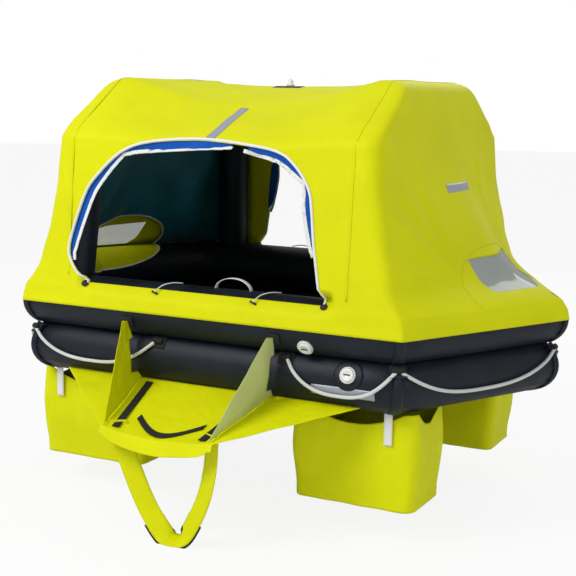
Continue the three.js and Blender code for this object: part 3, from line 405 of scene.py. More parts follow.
def surface(across, along, place, merge=0.0):
    """A grid whose points go where place(u, v) says, u and v from 0 to 1"""
    bm = bmesh.new()
    bmesh.ops.create_grid(bm, x_segments=across, y_segments=along, size=0.5)
    for vert in bm.verts:
        vert.co = place(vert.co.x + 0.5, vert.co.y + 0.5)
    if merge:
        bmesh.ops.remove_doubles(bm, verts=bm.verts, dist=merge)
        bmesh.ops.recalc_face_normals(bm, faces=bm.faces)
    bm.normal_update()
    return bm


def ring(bm, centre, right, up, radius, sides):
    """A circle of edges round a centre, in the plane of two directions"""
    right, up = Vector(right), Vector(up)
    basis = Matrix.Identity(4)
    basis.col[0].xyz = right
    basis.col[1].xyz = up
    basis.col[2].xyz = right.cross(up).normalized()
    basis.translation = Vector(centre)
    made = bmesh.ops.create_circle(bm, cap_ends=False, segments=sides, radius=radius, matrix=basis)
    return list({edge for vert in made["verts"] for edge in vert.link_edges})


def bridge(bm, rings, loop=False, caps=False):
    """Walls between rings that follow each other"""
    pairs = list(zip(rings, rings[1:]))
    if loop:
        pairs.append((rings[-1], rings[0]))
    if caps:
        bmesh.ops.edgeloop_fill(bm, edges=rings[0])
        bmesh.ops.edgeloop_fill(bm, edges=rings[-1])
    for low, high in pairs:
        bmesh.ops.bridge_loops(bm, edges=low + high)
    bmesh.ops.recalc_face_normals(bm, faces=bm.faces)


def spun(profile, at, out, steps=48):
    """A turned piece: a profile of radius and height, spun about an axis that points out of a surface"""
    bm = bmesh.new()
    points = [bm.verts.new((r, 0, h)) for r, h in profile]
    edges = [bm.edges.new(pair) for pair in zip(points, points[1:])]
    bmesh.ops.spin(
        bm, geom=points + edges, cent=(0, 0, 0), axis=(0, 0, 1), angle=math.tau, steps=steps, use_merge=True
    )
    bmesh.ops.remove_doubles(bm, verts=bm.verts, dist=1e-5)
    bmesh.ops.recalc_face_normals(bm, faces=bm.faces)
    turn = Vector(out).to_track_quat("Z", "Y").to_matrix().to_4x4()
    bmesh.ops.transform(bm, matrix=Matrix.Translation(at) @ turn, verts=bm.verts)
    return bm


def block(size, basis, bevel=0.0, segments=2):
    """A box with rounded edges"""
    bm = bmesh.new()
    bmesh.ops.create_cube(bm, size=1.0)
    bmesh.ops.scale(bm, vec=size, verts=bm.verts)
    if bevel:
        bmesh.ops.bevel(
            bm, geom=bm.edges[:], offset=bevel, segments=segments, profile=0.5, affect="EDGES", material=-1
        )
    bmesh.ops.transform(bm, matrix=basis, verts=bm.verts)
    return bm


def smooth_path(points, count):
    """A smooth line of count + 1 points through the given ones"""
    points = [Vector(p) for p in points]
    ends = [2 * points[0] - points[1], *points, 2 * points[-1] - points[-2]]
    made = []
    for i in range(count + 1):
        at = (len(points) - 1) * i / count
        k = min(int(at), len(points) - 2)
        t = at - k
        a, b, c, d = ends[k : k + 4]
        made.append(
            0.5 * (2 * b + (c - a) * t + (2 * a - 5 * b + 4 * c - d) * t**2 + (3 * b - a - 3 * c + d) * t**3)
        )
    return made


def along(path, v):
    """The point a share v along a list of points"""
    at = v * (len(path) - 1)
    k = min(int(at), len(path) - 2)
    return path[k].lerp(path[k + 1], at - k)


def ribbon(path, across, width, cols=2):
    """A flat strip along a path; across(v) is the direction of its width"""

    def place(u, v):
        return along(path, v) + Vector(across(v)) * (u - 0.5) * width

    return surface(cols, len(path) - 1, place)


def cord_tube(path, radius, sides=10):
    """A round tube along a path, with closed ends"""
    bm = bmesh.new()
    rings = []
    for i, point in enumerate(path):
        forward = (path[min(i + 1, len(path) - 1)] - path[max(i - 1, 0)]).normalized()
        side = forward.cross(Vector((0, 0, 1)))
        if side.length < 0.2:
            side = forward.cross(Vector((0, 1, 0)))
        side.normalize()
        rings.append(ring(bm, point, side, forward.cross(side).normalized(), radius, sides))
    bridge(bm, rings, caps=True)
    return bm


# The hull's plan


def corner_x(offset):
    return SIDE_HALF + offset * math.tan(math.pi / 4 - LEAN / 2)


def tip_x(offset):
    return TIP + offset / math.cos(LEAN)


def hexagon(offset):
    a, b, t = corner_x(offset), HALF_WIDTH + offset, tip_x(offset)
    return [Vector(p) for p in ((-a, -b), (a, -b), (t, 0), (a, b), (-a, b), (-t, 0))]


def bend_at(corners, i):
    """Directions into and out of a corner, its mitre and half the angle it turns through"""
    count = len(corners)
    before = (corners[i % count] - corners[(i - 1) % count]).normalized()
    after = (corners[(i + 1) % count] - corners[i % count]).normalized()
    n0 = Vector((before.y, -before.x))
    n1 = Vector((after.y, -after.x))
    return before, after, n0, n1, (n0 + n1) / (1 + n0.dot(n1)), math.acos(n0.dot(n1)) / 2


HULL_SIDES = 48
STRAIGHT_STEPS = 14


def flat3(point, z):
    return Vector((point.x, point.y, z))


def hull_tube(inset, z, side):
    """A tube with mitred corners and a flat where it seats on the other"""
    corners = hexagon(-inset)
    bm = bmesh.new()
    rings = []
    for i, corner in enumerate(corners):
        before, after, n0, n1, mitre, half = bend_at(corners, i)
        near = TUBE_R * math.tan(half) + 0.002
        far = TUBE_R * math.tan(bend_at(corners, i + 1)[5]) + 0.002
        length = (corners[(i + 1) % 6] - corner).length
        rings.append(ring(bm, flat3(corner, z), (mitre.x, mitre.y, 0), (0, 0, 1), TUBE_R, HULL_SIDES))
        for k in range(STRAIGHT_STEPS + 1):
            at = near + (length - near - far) * k / STRAIGHT_STEPS
            rings.append(ring(bm, flat3(corner + after * at, z), (n1.x, n1.y, 0), (0, 0, 1), TUBE_R, HULL_SIDES))
    bridge(bm, rings, loop=True)
    for vert in bm.verts:
        height = vert.co.z - z
        if side * height > TUBE_SEAT:
            vert.co.z = z + side * TUBE_SEAT
    pucker(bm, corners)
    return bm


def pucker(bm, corners):
    """Small puckers in the tube's wall beside each mitred joint"""
    bm.normal_update()
    for vert in bm.verts:
        flat = Vector((vert.co.x, vert.co.y))
        away = min((flat - corner).length for corner in corners)
        depth = 0.0022 * math.exp(-(((away - 0.11) / 0.07) ** 2))
        wave = math.sin(vert.co.z * 170) + 0.6 * noise.noise(vert.co * 9)
        vert.co += vert.normal * min(0, depth * (wave - 1))


def corner_bands(name, inset, z, side):
    """Reinforcing bands over the mitred joints of a tube"""
    bm = bmesh.new()
    corners = hexagon(-inset)
    width = 0.030
    for i, corner in enumerate(corners):
        before, after, n0, n1, mitre, half = bend_at(corners, i)
        rings = []
        for shift in (-before * width, Vector((0, 0)), after * width):
            centre = flat3(corner + shift, z)
            rings.append(ring(bm, centre, (mitre.x, mitre.y, 0), (0, 0, 1), TUBE_R + 0.0012, HULL_SIDES))
        bridge(bm, rings)
    for vert in bm.verts:
        if side * (vert.co.z - z) > TUBE_SEAT - 0.001:
            vert.co.z = z + side * (TUBE_SEAT - 0.001)
    return show(name, bm, "tube_rubber", thickness=0.002, offset=-0.5)


class RAFT_OT_tubes(bpy.types.Operator):
    """Make the two buoyancy tubes with their corner bands"""

    bl_idname = "raft.tubes"
    bl_label = "Buoyancy tubes"

    def execute(self, context):
        lower = hull_tube(LOWER_INSET, LOWER_Z, 1)
        show("lower_tube_skin", lower, "tube_rubber", replaces=["lower_tube"])
        upper = hull_tube(0.0, UPPER_Z, -1)
        show("upper_tube_skin", upper, "tube_rubber", replaces=["upper_tube"])
        corner_bands("lower_corner_bands", LOWER_INSET, LOWER_Z, 1)
        corner_bands("upper_corner_bands", 0.0, UPPER_Z, -1)
        self.rope_patches()
        self.tube_tape()
        return {"FINISHED"}

    def rope_patches(self):
        """Webbing patches that hold the lifeline, each a pad with a loop over the rope"""
        bm = bmesh.new()
        for frame_at in patch_frames():
            at, out, line = frame_at
            up = line.cross(out)
            basis = Matrix((line, out, up)).transposed().to_4x4()
            basis.translation = at + out * 0.002
            pad = block((0.074, 0.004, 0.060), basis, 0.0015)
            loop_basis = basis.copy()
            loop_basis.translation = at + out * 0.012
            loop = block((0.052, 0.022, 0.026), loop_basis, 0.008, 3)
            for extra in (pad, loop):
                mesh = mesh_of("patch", extra)
                bm.from_mesh(mesh)
                bpy.data.meshes.remove(mesh)
        show("rope_patches", bm, "black_webbing")

    def tube_tape(self):
        """A length of reflective tape on the lower tube, near the valve"""

        def place(u, v):
            angle = math.radians(-4 - 20 * v)
            x = 0.546 + 0.292 * u
            reach = HALF_WIDTH - LOWER_INSET + (TUBE_R + 0.0008) * math.cos(angle)
            return Vector((x, -reach, LOWER_Z + (TUBE_R + 0.0008) * math.sin(angle)))

        show("tube_tape", surface(12, 6, place), "reflective_tape", thickness=0.0012)


# Patches and lifelines


def corner_frame(i):
    corners = hexagon(-LOWER_INSET)
    before, after, n0, n1, mitre, half = bend_at(corners, i)
    line = (before + after).normalized()
    out = Vector((line.y, -line.x))
    reach = TUBE_R * math.cos(ROPE_ANGLE) / math.cos(half)
    at = flat3(corners[i] + out * reach, LOWER_Z + TUBE_R * math.sin(ROPE_ANGLE))
    return at, leaning(out), flat3(line, 0)


def leaning(out):
    """A level direction, raised to the angle at which the patches sit"""
    flat = flat3(out, 0).normalized()
    return (flat * math.cos(ROPE_ANGLE) + Vector((0, 0, math.sin(ROPE_ANGLE)))).normalized()


def mid_frame(patch):
    x, side = patch
    y = side * (HALF_WIDTH - LOWER_INSET + TUBE_R * math.cos(ROPE_ANGLE))
    at = Vector((x, y, LOWER_Z + TUBE_R * math.sin(ROPE_ANGLE)))
    return at, leaning(Vector((0, side))), Vector((-side, 0, 0))


def patch_frames():
    return [corner_frame(i) for i in range(6)] + [mid_frame(p) for p in MID_PATCHES]


def corner_end(i, towards):
    """Where the rope leaves a corner patch: a point on the tube's axis, the way out, and a height"""
    corners = hexagon(-LOWER_INSET)
    corner = corners[i % 6]
    direction = (corners[(i + towards) % 6] - corner).normalized()
    out = Vector((direction.y, -direction.x)) * towards
    z = LOWER_Z + TUBE_R * math.sin(ROPE_ANGLE)
    reach = math.sqrt((TUBE_R + ROPE_R + ROPE_OFF) ** 2 - (z - LOWER_Z) ** 2)
    other = (corner - corners[(i - towards) % 6]).normalized()
    start = PATCH_X / 4 - reach * math.tan(math.acos(direction.dot(other)) / 2)
    return corner + direction * start, out, z


def mid_end(patch, towards):
    x, side = patch
    z = LOWER_Z + TUBE_R * math.sin(ROPE_ANGLE)
    return Vector((x + towards * PATCH_X / 4, side * (HALF_WIDTH - LOWER_INSET))), Vector((0, side)), z


def swag(start, end, drop, steps=16):
    points = []
    for i in range(steps + 1):
        s = i / steps
        z = start[2] + (end[2] - start[2]) * s - drop * (1 - abs(2 * s - 1) ** SWAG_POWER)
        across = math.sqrt(max(0, (TUBE_R + ROPE_R + ROPE_OFF) ** 2 - (z - LOWER_Z) ** 2))
        line = start[0].lerp(end[0], s)
        out = start[1].lerp(end[1], s).normalized()
        points.append(flat3(line + out * across, z))
    return points


SWAGS = (
    ("near_left", corner_end(0, 1), mid_end(MID_PATCHES[0], -1), 0.118),
    ("near_right", mid_end(MID_PATCHES[1], 1), corner_end(1, -1), 0.128),
    ("right_near", corner_end(1, 1), corner_end(2, -1), 0.120),
    ("right_far", corner_end(2, 1), corner_end(3, -1), 0.120),
    ("far_right", corner_end(3, 1), mid_end(MID_PATCHES[2], 1), 0.120),
    ("far_left", mid_end(MID_PATCHES[2], -1), corner_end(4, -1), 0.120),
    ("left_far", corner_end(4, 1), corner_end(5, -1), 0.120),
    ("left_near", corner_end(5, 1), corner_end(0, -1), 0.120),
)


class RAFT_OT_lifelines(bpy.types.Operator):
    """Hang the braided lifeline in swags round the lower tube"""

    bl_idname = "raft.lifelines"
    bl_label = "Lifelines"

    def execute(self, context):
        for name, start, end, drop in SWAGS:
            self.rope(name, smooth_path(swag(start, end, drop), 36))
        return {"FINISHED"}

    def rope(self, name, path):
        curve = bpy.data.curves.new(f"rope_{name}", "CURVE")
        curve.dimensions = "3D"
        curve.bevel_depth = sizes().rope / 2
        curve.bevel_resolution = 3
        curve.use_fill_caps = True
        spline = curve.splines.new("POLY")
        spline.points.add(len(path) - 1)
        for point, at in zip(spline.points, path):
            point.co = (*at, 1)
        curve.materials.append(material_of("rope_braid"))
        piece = bpy.data.objects.new(f"rope_{name}", curve)
        fastened(piece, "white_rope", [f"lifeline_{name}"])
        length = sum((b - a).length for a, b in zip(path, path[1:]))
        tuple(path[0])


# The canopy's form: levels from the hem to the roof's middle line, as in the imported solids


def seat_out(z):
    return math.sqrt(max(0.0, (TUBE_R + GAP + FABRIC) ** 2 - (z - UPPER_Z) ** 2))


def wall_y(z):
    return WALL_FOOT[0] - (WALL_FOOT[0] - KNEE[0]) * (z - WALL_FOOT[1]) / (KNEE[1] - WALL_FOOT[1])


def slope_y(z):
    return KNEE[0] - (KNEE[0] - SHOULDER_Y) * (z - KNEE[1]) / (ROOF_Z - KNEE[1])


def seated(z, **more):
    out = seat_out(z)
    return {"z": z, "a": corner_x(out), "b": HALF_WIDTH + out, "t": tip_x(out), "sag": 0, "hug": 0, **more}


def level(z, a, b, t, corner, sag=0.0):
    return {"z": z, "a": a, "b": b, "t": t, "corner": corner, "sag": sag, "hug": 0}


LEVELS = (
    seated(HEM_Z, corner=0.012),
    seated(HEM_Z + 0.045, corner=0.014),
    seated(HEM_Z + 0.085, b=wall_y(HEM_Z + 0.085) + 0.004, corner=0.020, hug=1),
    seated(WALL_FOOT[1], a=0.925, b=WALL_FOOT[0], corner=0.030, hug=1),
    level(0.520, 0.893, wall_y(0.520), 1.190, 0.045),
    level(0.640, ARCH_EDGE + 0.084, wall_y(0.640), ARCH_EDGE + 0.280, 0.060),
    level(0.915, ARCH_EDGE + 0.040, wall_y(0.915), ARCH_EDGE + 0.108, 0.075),
    level(KNEE[1], ARCH_EDGE + 0.022, KNEE[0], ARCH_EDGE + 0.038, 0.080, 0.19),
    level(1.272, ARCH_EDGE + 0.016, slope_y(1.272), ARCH_EDGE + 0.026, 0.075, 0.56),
    level(1.355, ARCH_EDGE + 0.004, slope_y(1.355), ARCH_EDGE + 0.012, 0.060, 0.88),
    level(1.385, ARCH_EDGE - 0.022, slope_y(1.385), ARCH_EDGE - 0.014, 0.050, 0.97),
    level(ROOF_Z, ARCH_TOP_X, SHOULDER_Y, ARCH_TOP_X + 0.008, 0.040, 1.0),
    level(ROOF_Z, ARCH_TOP_X, SHOULDER_Y / 2, ARCH_TOP_X + 0.004, 0.020, 0.5),
    level(ROOF_Z, ARCH_TOP_X, 0.0, ARCH_TOP_X, 0.0, ROOF_SAG / SHOULDER_SAG),
)
LEVEL_ROWS = (4, 4, 3, 5, 9, 17, 15, 9, 6, 3, 3, 10, 10)
BEND_STEPS = 6
LONG_STEPS = 84
SHORT_STEPS = 38
SMOOTHING = 3


def canopy_levels():
    """Levels at every row of the fine mesh, with the corners between them eased"""
    rows = []
    for low, high, steps in zip(LEVELS, LEVELS[1:], LEVEL_ROWS):
        rows += [{key: low[key] + (high[key] - low[key]) * k / steps for key in low} for k in range(steps)]
    rows.append(dict(LEVELS[-1]))
    for _ in range(SMOOTHING):
        eased = [dict(row) for row in rows]
        for i in range(9, len(rows) - 1):
            for key in ("z", "a", "b", "t", "sag"):
                eased[i][key] = (rows[i - 1][key] + 2 * rows[i][key] + rows[i + 1][key]) / 4
        rows = eased
    return rows


def smoothstep(x, low, high):
    t = min(1.0, max(0.0, (x - low) / (high - low)))
    return t * t * (3 - 2 * t)


def canopy_ring(row, inset=0.0):
    """The outline of one level"""
    a, b, t = row["a"] - inset, max(row["b"] - inset, 0.0), row["t"] - inset
    corners = [Vector(p) for p in ((-a, -b), (a, -b), (t, 0), (a, b), (-a, b), (-t, 0))]
    reach = []
    for i, corner in enumerate(corners):
        shortest = min((corners[i - 1] - corner).length, (corners[(i + 1) % 6] - corner).length)
        reach.append(min(row["corner"], 0.3 * shortest))
    points = []
    for i, corner in enumerate(corners):
        to_last = (corners[i - 1] - corner).normalized() if b or t - a else Vector((0, 0))
        to_next = (corners[(i + 1) % 6] - corner).normalized()
        start, end = corner + to_last * reach[i], corner + to_next * reach[i]
        for k in range(BEND_STEPS + 1):
            s = k / BEND_STEPS
            points.append(start * (1 - s) ** 2 + corner * 2 * s * (1 - s) + end * s**2)
        steps = LONG_STEPS if i % 3 == 0 else SHORT_STEPS
        after = corners[(i + 1) % 6]
        stop = after - to_next * reach[(i + 1) % 6]
        points += [end.lerp(stop, k / steps) for k in range(1, steps)]
    hugged = HALF_WIDTH + seat_out(row["z"]) - inset
    placed = []
    for point in points:
        y = point.y
        if row["hug"] and abs(y) > hugged:
            free = smoothstep(abs(point.x), SILL_HALF, SILL_HALF + 0.042)
            follow = hugged + (abs(y) - hugged) * free
            y = math.copysign(follow + (abs(y) - follow) * (1 - row["hug"]), y)
        share = max(0.0, 1 - (point.x / SAG_HALF) ** 2)
        drop = row["sag"] * SHOULDER_SAG * share
        under = inset if row["sag"] > 0.5 or row["b"] < SHOULDER_Y + 0.01 else inset * row["sag"]
        placed.append(Vector((point.x, y, row["z"] - drop - under)))
    return placed


def canopy_skin(inset=0.0, fold=None):
    """The canopy's surface as a fine grid, closed round the raft and along the roof's middle"""
    rings = [canopy_ring(row, inset) for row in canopy_levels()]
    count, rows = len(rings[0]), len(rings)
    bm = surface(
        count, rows - 1, lambda u, v: rings[min(round(v * (rows - 1)), rows - 1)][round(u * count) % count], 2e-4
    )
    if fold:
        shifts = [(vert, vert.normal * fold(vert.co, vert.normal)) for vert in bm.verts]
        for vert, shift in shifts:
            vert.co += shift
        bm.normal_update()
    return bm


def canopy_folds(co, normal):
    """How far the cloth stands in or out of its form, from its folds and creases"""
    depth = sizes().fold
    x, y, z = co
    free = smoothstep(z, 0.47, 0.60)
    total = 0.35 * depth * noise.noise(Vector((x * 3.2, y * 3.2, z * 2.6)))
    total += 0.30 * depth * noise.noise(Vector((x * 8 + 5, y * 8, z * 5)))
    side = abs(x)
    if side > ARCH_TOP_X - 0.02 and z < 1.36:
        total += depth * end_folds(y, z) * smoothstep(side, 0.72, 0.80)
    if abs(y) > 0.5:
        total += depth * wall_folds(x, z, y)
    if z > 1.20 and abs(y) < 0.60:
        ridges = math.sin(side * 46 + 3 * noise.noise(Vector((x * 2, y * 5, 0))))
        total += 0.25 * depth * ridges * smoothstep(side, 0.30, 0.62) * (1 - smoothstep(side, 0.62, 0.70))
    return total * free


def end_folds(y, z):
    """Stretch folds that run from the arch's legs down to the ends of the window"""
    total = 0.0
    for hand in (-1, 1):
        dy, dz = hand * y - 0.30, z - 0.50
        reach = math.hypot(dy, dz)
        if dy < -0.10 or reach < 0.02:
            continue
        angle = math.atan2(dz, max(dy, -0.1))
        fans = math.sin(angle * 15 + 1.3 * hand + 2 * noise.noise(Vector((angle * 2, hand, reach * 2))))
        fade = smoothstep(reach, 0.03, 0.16) * (1 - smoothstep(reach, 0.42, 0.66))
        total += 0.75 * fans * fade * smoothstep(dy, -0.10, 0.04) * smoothstep(z, 0.50, 0.58)
    sweep = math.sin(9 * (z + 0.35 * abs(y)) + 2)
    return total + 0.6 * sweep * smoothstep(z, 0.60, 0.80) * (1 - smoothstep(z, 1.0, 1.25))


CREASES = ((1.078, 0.4), (1.118, 1.0), (1.158, -0.7), (1.200, 0.5))


def wall_folds(x, z, y):
    """Level creases across the bend over the doorways, and soft pleats beside them"""
    total = 0.0
    for height, amount in CREASES:
        line = height - 0.05 * smoothstep(-abs(x), -0.7, 0.0) + 0.012 * noise.noise(Vector((x * 3, height * 9, y)))
        total += 0.55 * amount * math.exp(-(((z - line) / 0.014) ** 2)) * smoothstep(abs(x), 0.12, 0.45)
    pleat = math.sin(abs(x) * 38 + 6 * z + 4 * noise.noise(Vector((x, z * 2, y))))
    total += 0.35 * pleat * smoothstep(abs(x), 0.60, 0.72) * (1 - smoothstep(z, 0.95, 1.10))
    return total


DOOR_POINTS = (
    (-SILL_HALF, SILL_Z), (-DOOR_BULGE + 0.008, 0.560), (-DOOR_BULGE, 0.640), (-0.632, 0.850),
    (-0.565, 0.948), (-0.440, 1.056), (-0.300, 1.103), (-0.060, 1.122), (0.160, 1.110), (0.350, 1.082),
    (0.440, 1.022), (0.502, 0.935), (DOOR_RIGHT - 0.014, 0.850), (DOOR_RIGHT + 0.006, 0.700),
    (SILL_HALF - 0.026, SILL_Z),
)
DOOR_STEPS = 140


def door_edge(distance=0.0, near=0.0, far=1.0):
    """The doorway's outline in X and Z, moved out by a distance, between two shares of its length"""
    line = smooth_path([(x, 0, z) for x, z in DOOR_POINTS], DOOR_STEPS)
    moved = []
    for i, point in enumerate(line):
        s = i / DOOR_STEPS
        if not near - 1e-6 <= s <= far + 1e-6:
            continue
        ahead = line[min(i + 1, DOOR_STEPS)] - line[max(i - 1, 0)]
        out = Vector((-ahead.z, 0, ahead.x)).normalized()
        moved.append(point + out * distance)
    return moved


def window_outline(grow=0.0):
    """The window's outline in Y and Z"""
    low, high = WINDOW_LOW - grow, WINDOW_HIGH + grow
    wide, narrow = WINDOW_HALF + grow, WINDOW_HALF - 0.018 + grow
    return [(-wide, low), (wide, low), (narrow, high), (-narrow, high)]


def prism(points, shift):
    """A closed prism from an outline, extruded by a shift"""
    bm = bmesh.new()
    face = bm.faces.new([bm.verts.new(p) for p in points])
    made = bmesh.ops.extrude_face_region(bm, geom=[face])
    moved = [item for item in made["geom"] if isinstance(item, bmesh.types.BMVert)]
    bmesh.ops.translate(bm, vec=shift, verts=moved)
    bmesh.ops.recalc_face_normals(bm, faces=bm.faces)
    return bm


def scratch(bm):
    """An object that only cuts another and is deleted"""
    cutter = bpy.data.objects.new("cutter", mesh_of("cutter", bm))
    bpy.context.scene.collection.objects.link(cutter)
    return cutter


def apply_modifiers(piece):
    """Makes a piece's mesh what its modifiers show"""
    graph = bpy.context.evaluated_depsgraph_get()
    mesh = bpy.data.meshes.new_from_object(piece.evaluated_get(graph))
    old = piece.data
    piece.modifiers.clear()
    piece.data = mesh
    bpy.data.meshes.remove(old)
    mesh.name = piece.name


def cut(piece, *prisms):
    """Cuts prisms out of a piece"""
    cutters = [scratch(bm) for bm in prisms]
    for cutter in cutters:
        hole = piece.modifiers.new("hole", "BOOLEAN")
        hole.operation = "DIFFERENCE"
        hole.solver = "EXACT"
        hole.object = cutter
    bpy.context.view_layer.update()
    apply_modifiers(piece)
    for cutter in cutters:
        mesh = cutter.data
        bpy.data.objects.remove(cutter)
        bpy.data.meshes.remove(mesh)
    piece.data.polygons.foreach_set("use_smooth", [True] * len(piece.data.polygons))


def both_sides(make):
    """A cutter and its copy turned half round"""
    other = make()
    bmesh.ops.transform(other, matrix=HALF_TURN, verts=other.verts)
    return [make(), other]


def door_prism():
    return prism([(p.x, -1.2, p.z) for p in door_edge()], (0, 0.6, 0))


def window_prism():
    return prism([(0.95, y, z) for y, z in window_outline()], (0.65, 0, 0))


SURFACES = {}


def canopy_tree():
    """A search tree over the canopy's outer surface"""
    if "canopy" not in SURFACES:
        bm = canopy_skin(0.0, canopy_folds)
        SURFACES["canopy"] = BVHTree.FromBMesh(bm)
        bm.free()
    return SURFACES["canopy"]


def on_wall(x, z, lift=0.0):
    """The point on the near wall at x and z, and the way out of it"""
    at, out, _, _ = canopy_tree().ray_cast(Vector((x, -1.6, z)), Vector((0, 1, 0)))
    if at is None:
        at, out = Vector((x, -wall_y(z), z)), Vector((0, -1, 0))
    if out.y > 0:
        out = -out
    return at + out * lift, out


def on_end(y, z, lift=0.0):
    """The point on the right end at y and z, and the way out of it"""
    at, out, _, _ = canopy_tree().ray_cast(Vector((1.9, y, z)), Vector((-1, 0, 0)))
    if out.x < 0:
        out = -out
    return at + out * lift, out


def on_round(x, angle, lift=0.0):
    """The point on the canopy at x, as seen from the cabin's middle at an angle above the near side"""
    heading = Vector((0, -math.cos(angle), math.sin(angle)))
    at, out, _, _ = canopy_tree().ray_cast(Vector((x, 0, 0.70)), heading)
    if at is None:
        return None, None
    if out.dot(heading) < 0:
        out = -out
    return at + out * lift, out


def strip_on(points, width, cols=2):
    """A strip that lies on a surface, along points that each have the way out of the surface"""
    ats = [at for at, _ in points]
    sides = []
    for i, (_, out) in enumerate(points):
        forward = ats[min(i + 1, len(ats) - 1)] - ats[max(i - 1, 0)]
        sides.append(forward.cross(out).normalized())

    def place(u, v):
        i = min(round(v * (len(ats) - 1)), len(ats) - 1)
        return ats[i] + sides[i] * (u - 0.5) * width

    return surface(cols, len(ats) - 1, place)


# Right end, as Y and Z: the sewn edge round the window's patch, and the edge of the lining's opening
PATCH_EDGE = (
    (-0.445, 0.440), (-0.400, 0.520), (-0.320, 0.590), (-0.16, 0.648), (0, 0.664),
    (0.16, 0.648), (0.320, 0.590), (0.400, 0.520), (0.445, 0.440),
)
LINER_EDGE = (
    (-0.42, 0.470), (-0.40, 0.540), (-0.33, 0.610), (-0.17, 0.660), (0, 0.672),
    (0.17, 0.660), (0.33, 0.610), (0.40, 0.540), (0.42, 0.470),
)
LINER_TOP = 1.262
END_TAPE = {"start": 0.145, "length": 0.295, "z": 0.915}
SLOPE_TAPE = {"low": 1.128, "rise": 0.135}


class RAFT_OT_canopy(bpy.types.Operator):
    """Make the canopy's cloth with its doorways, windows, seams and tapes"""

    bl_idname = "raft.canopy"
    bl_label = "Canopy"

    def execute(self, context):
        bm = canopy_skin(0.0, canopy_folds)
        piece = show("canopy_skin", bm, "canopy_cloth", replaces=["canopy"], thickness=0.0022, offset=-1)
        cut(piece, *both_sides(door_prism), *both_sides(window_prism))
        self.windows()
        self.seams()
        self.tapes()
        return {"FINISHED"}

    def windows(self):
        """A slightly wavy film behind each window's opening"""

        def pane(u, v):
            low, high = window_outline(0.006)[0], window_outline(0.006)[3]
            y = (low[0] + (high[0] - low[0]) * v) * (1 - 2 * u)
            z = low[1] + (high[1] - low[1]) * v
            return on_end(y, z, -0.0016 + 0.0012 * noise.noise(Vector((y * 14, z * 18, 3))))[0]

        both("window_pane_right", surface(60, 18, pane), "window_film", "window_right", thickness=0.0008)

    def seams(self):
        """Sewn seams over each arch and round each window's patch"""
        width = sizes().seam
        crest = []
        for k in range(121):
            angle = math.radians(-14 + 208 * k / 120)
            at, out = on_round(ARCH_TOP_X + 0.010, angle, 0.0008)
            if at is not None and at.z > 0.40:
                crest.append((at, out))
        both("arch_seam_right", strip_on(crest, width), "canopy_cloth", thickness=0.0016)
        patch = [on_end(y, z, 0.0008) for y, z in smooth_path(PATCH_EDGE, 72)]
        both("patch_seam_right", strip_on(patch, width), "canopy_cloth", thickness=0.0016)

    def tapes(self):
        """Reflective tape across each end and down from each side of the roof"""
        width = sizes().tape
        start, length, z = END_TAPE["start"], END_TAPE["length"], END_TAPE["z"]
        line = [on_end(k / 40 * length - start, z, 0.0010) for k in range(41)]
        both("end_tape_right", strip_on(line, width, 4), "reflective_tape", thickness=0.0008)
        line = [on_wall(0.0, SLOPE_TAPE["low"] + SLOPE_TAPE["rise"] * k / 24, 0.0010) for k in range(25)]
        both("slope_tape_near", strip_on(line, width, 4), "reflective_tape", thickness=0.0008)


# Doorways: the ties that gather the flaps, as shares of the edge, and the stops at the piping's ends
FLAP_TIES = (0.065, 0.36, 0.56, 0.76, 0.94)
FLAP_LAP = 0.014
STOPS = (("left", -0.628), ("right", 0.594))
STOP_Z = 0.447
STOP_PROFILE = ((0.0, 0.0), (0.015, 0.0), (0.017, 0.003), (0.015, 0.006), (0.0, 0.007))
TOGGLE_PROFILE = (
    (0.0, -0.017), (0.0034, -0.0162), (0.005, -0.013), (0.0042, 0.0), (0.005, 0.013), (0.0034, 0.0162), (0.0, 0.017)
)
TOGGLE_TILT = 0.35
TOGGLE_CORD = (
    (0.0, -0.004, 0.004), (0.012, 0.008, 0.018), (0.028, 0.030, 0.033), (0.055, 0.066, 0.040), (0.085, 0.105, 0.036)
)


def flap_width(s):
    """How wide the gathered flap stands at a share of the doorway's edge"""
    for low, high in zip(FLAP_TIES, FLAP_TIES[1:]):
        if low <= s <= high:
            return 0.008 + 0.027 * math.sin(math.pi * (s - low) / (high - low)) ** 0.7
    return 0.008


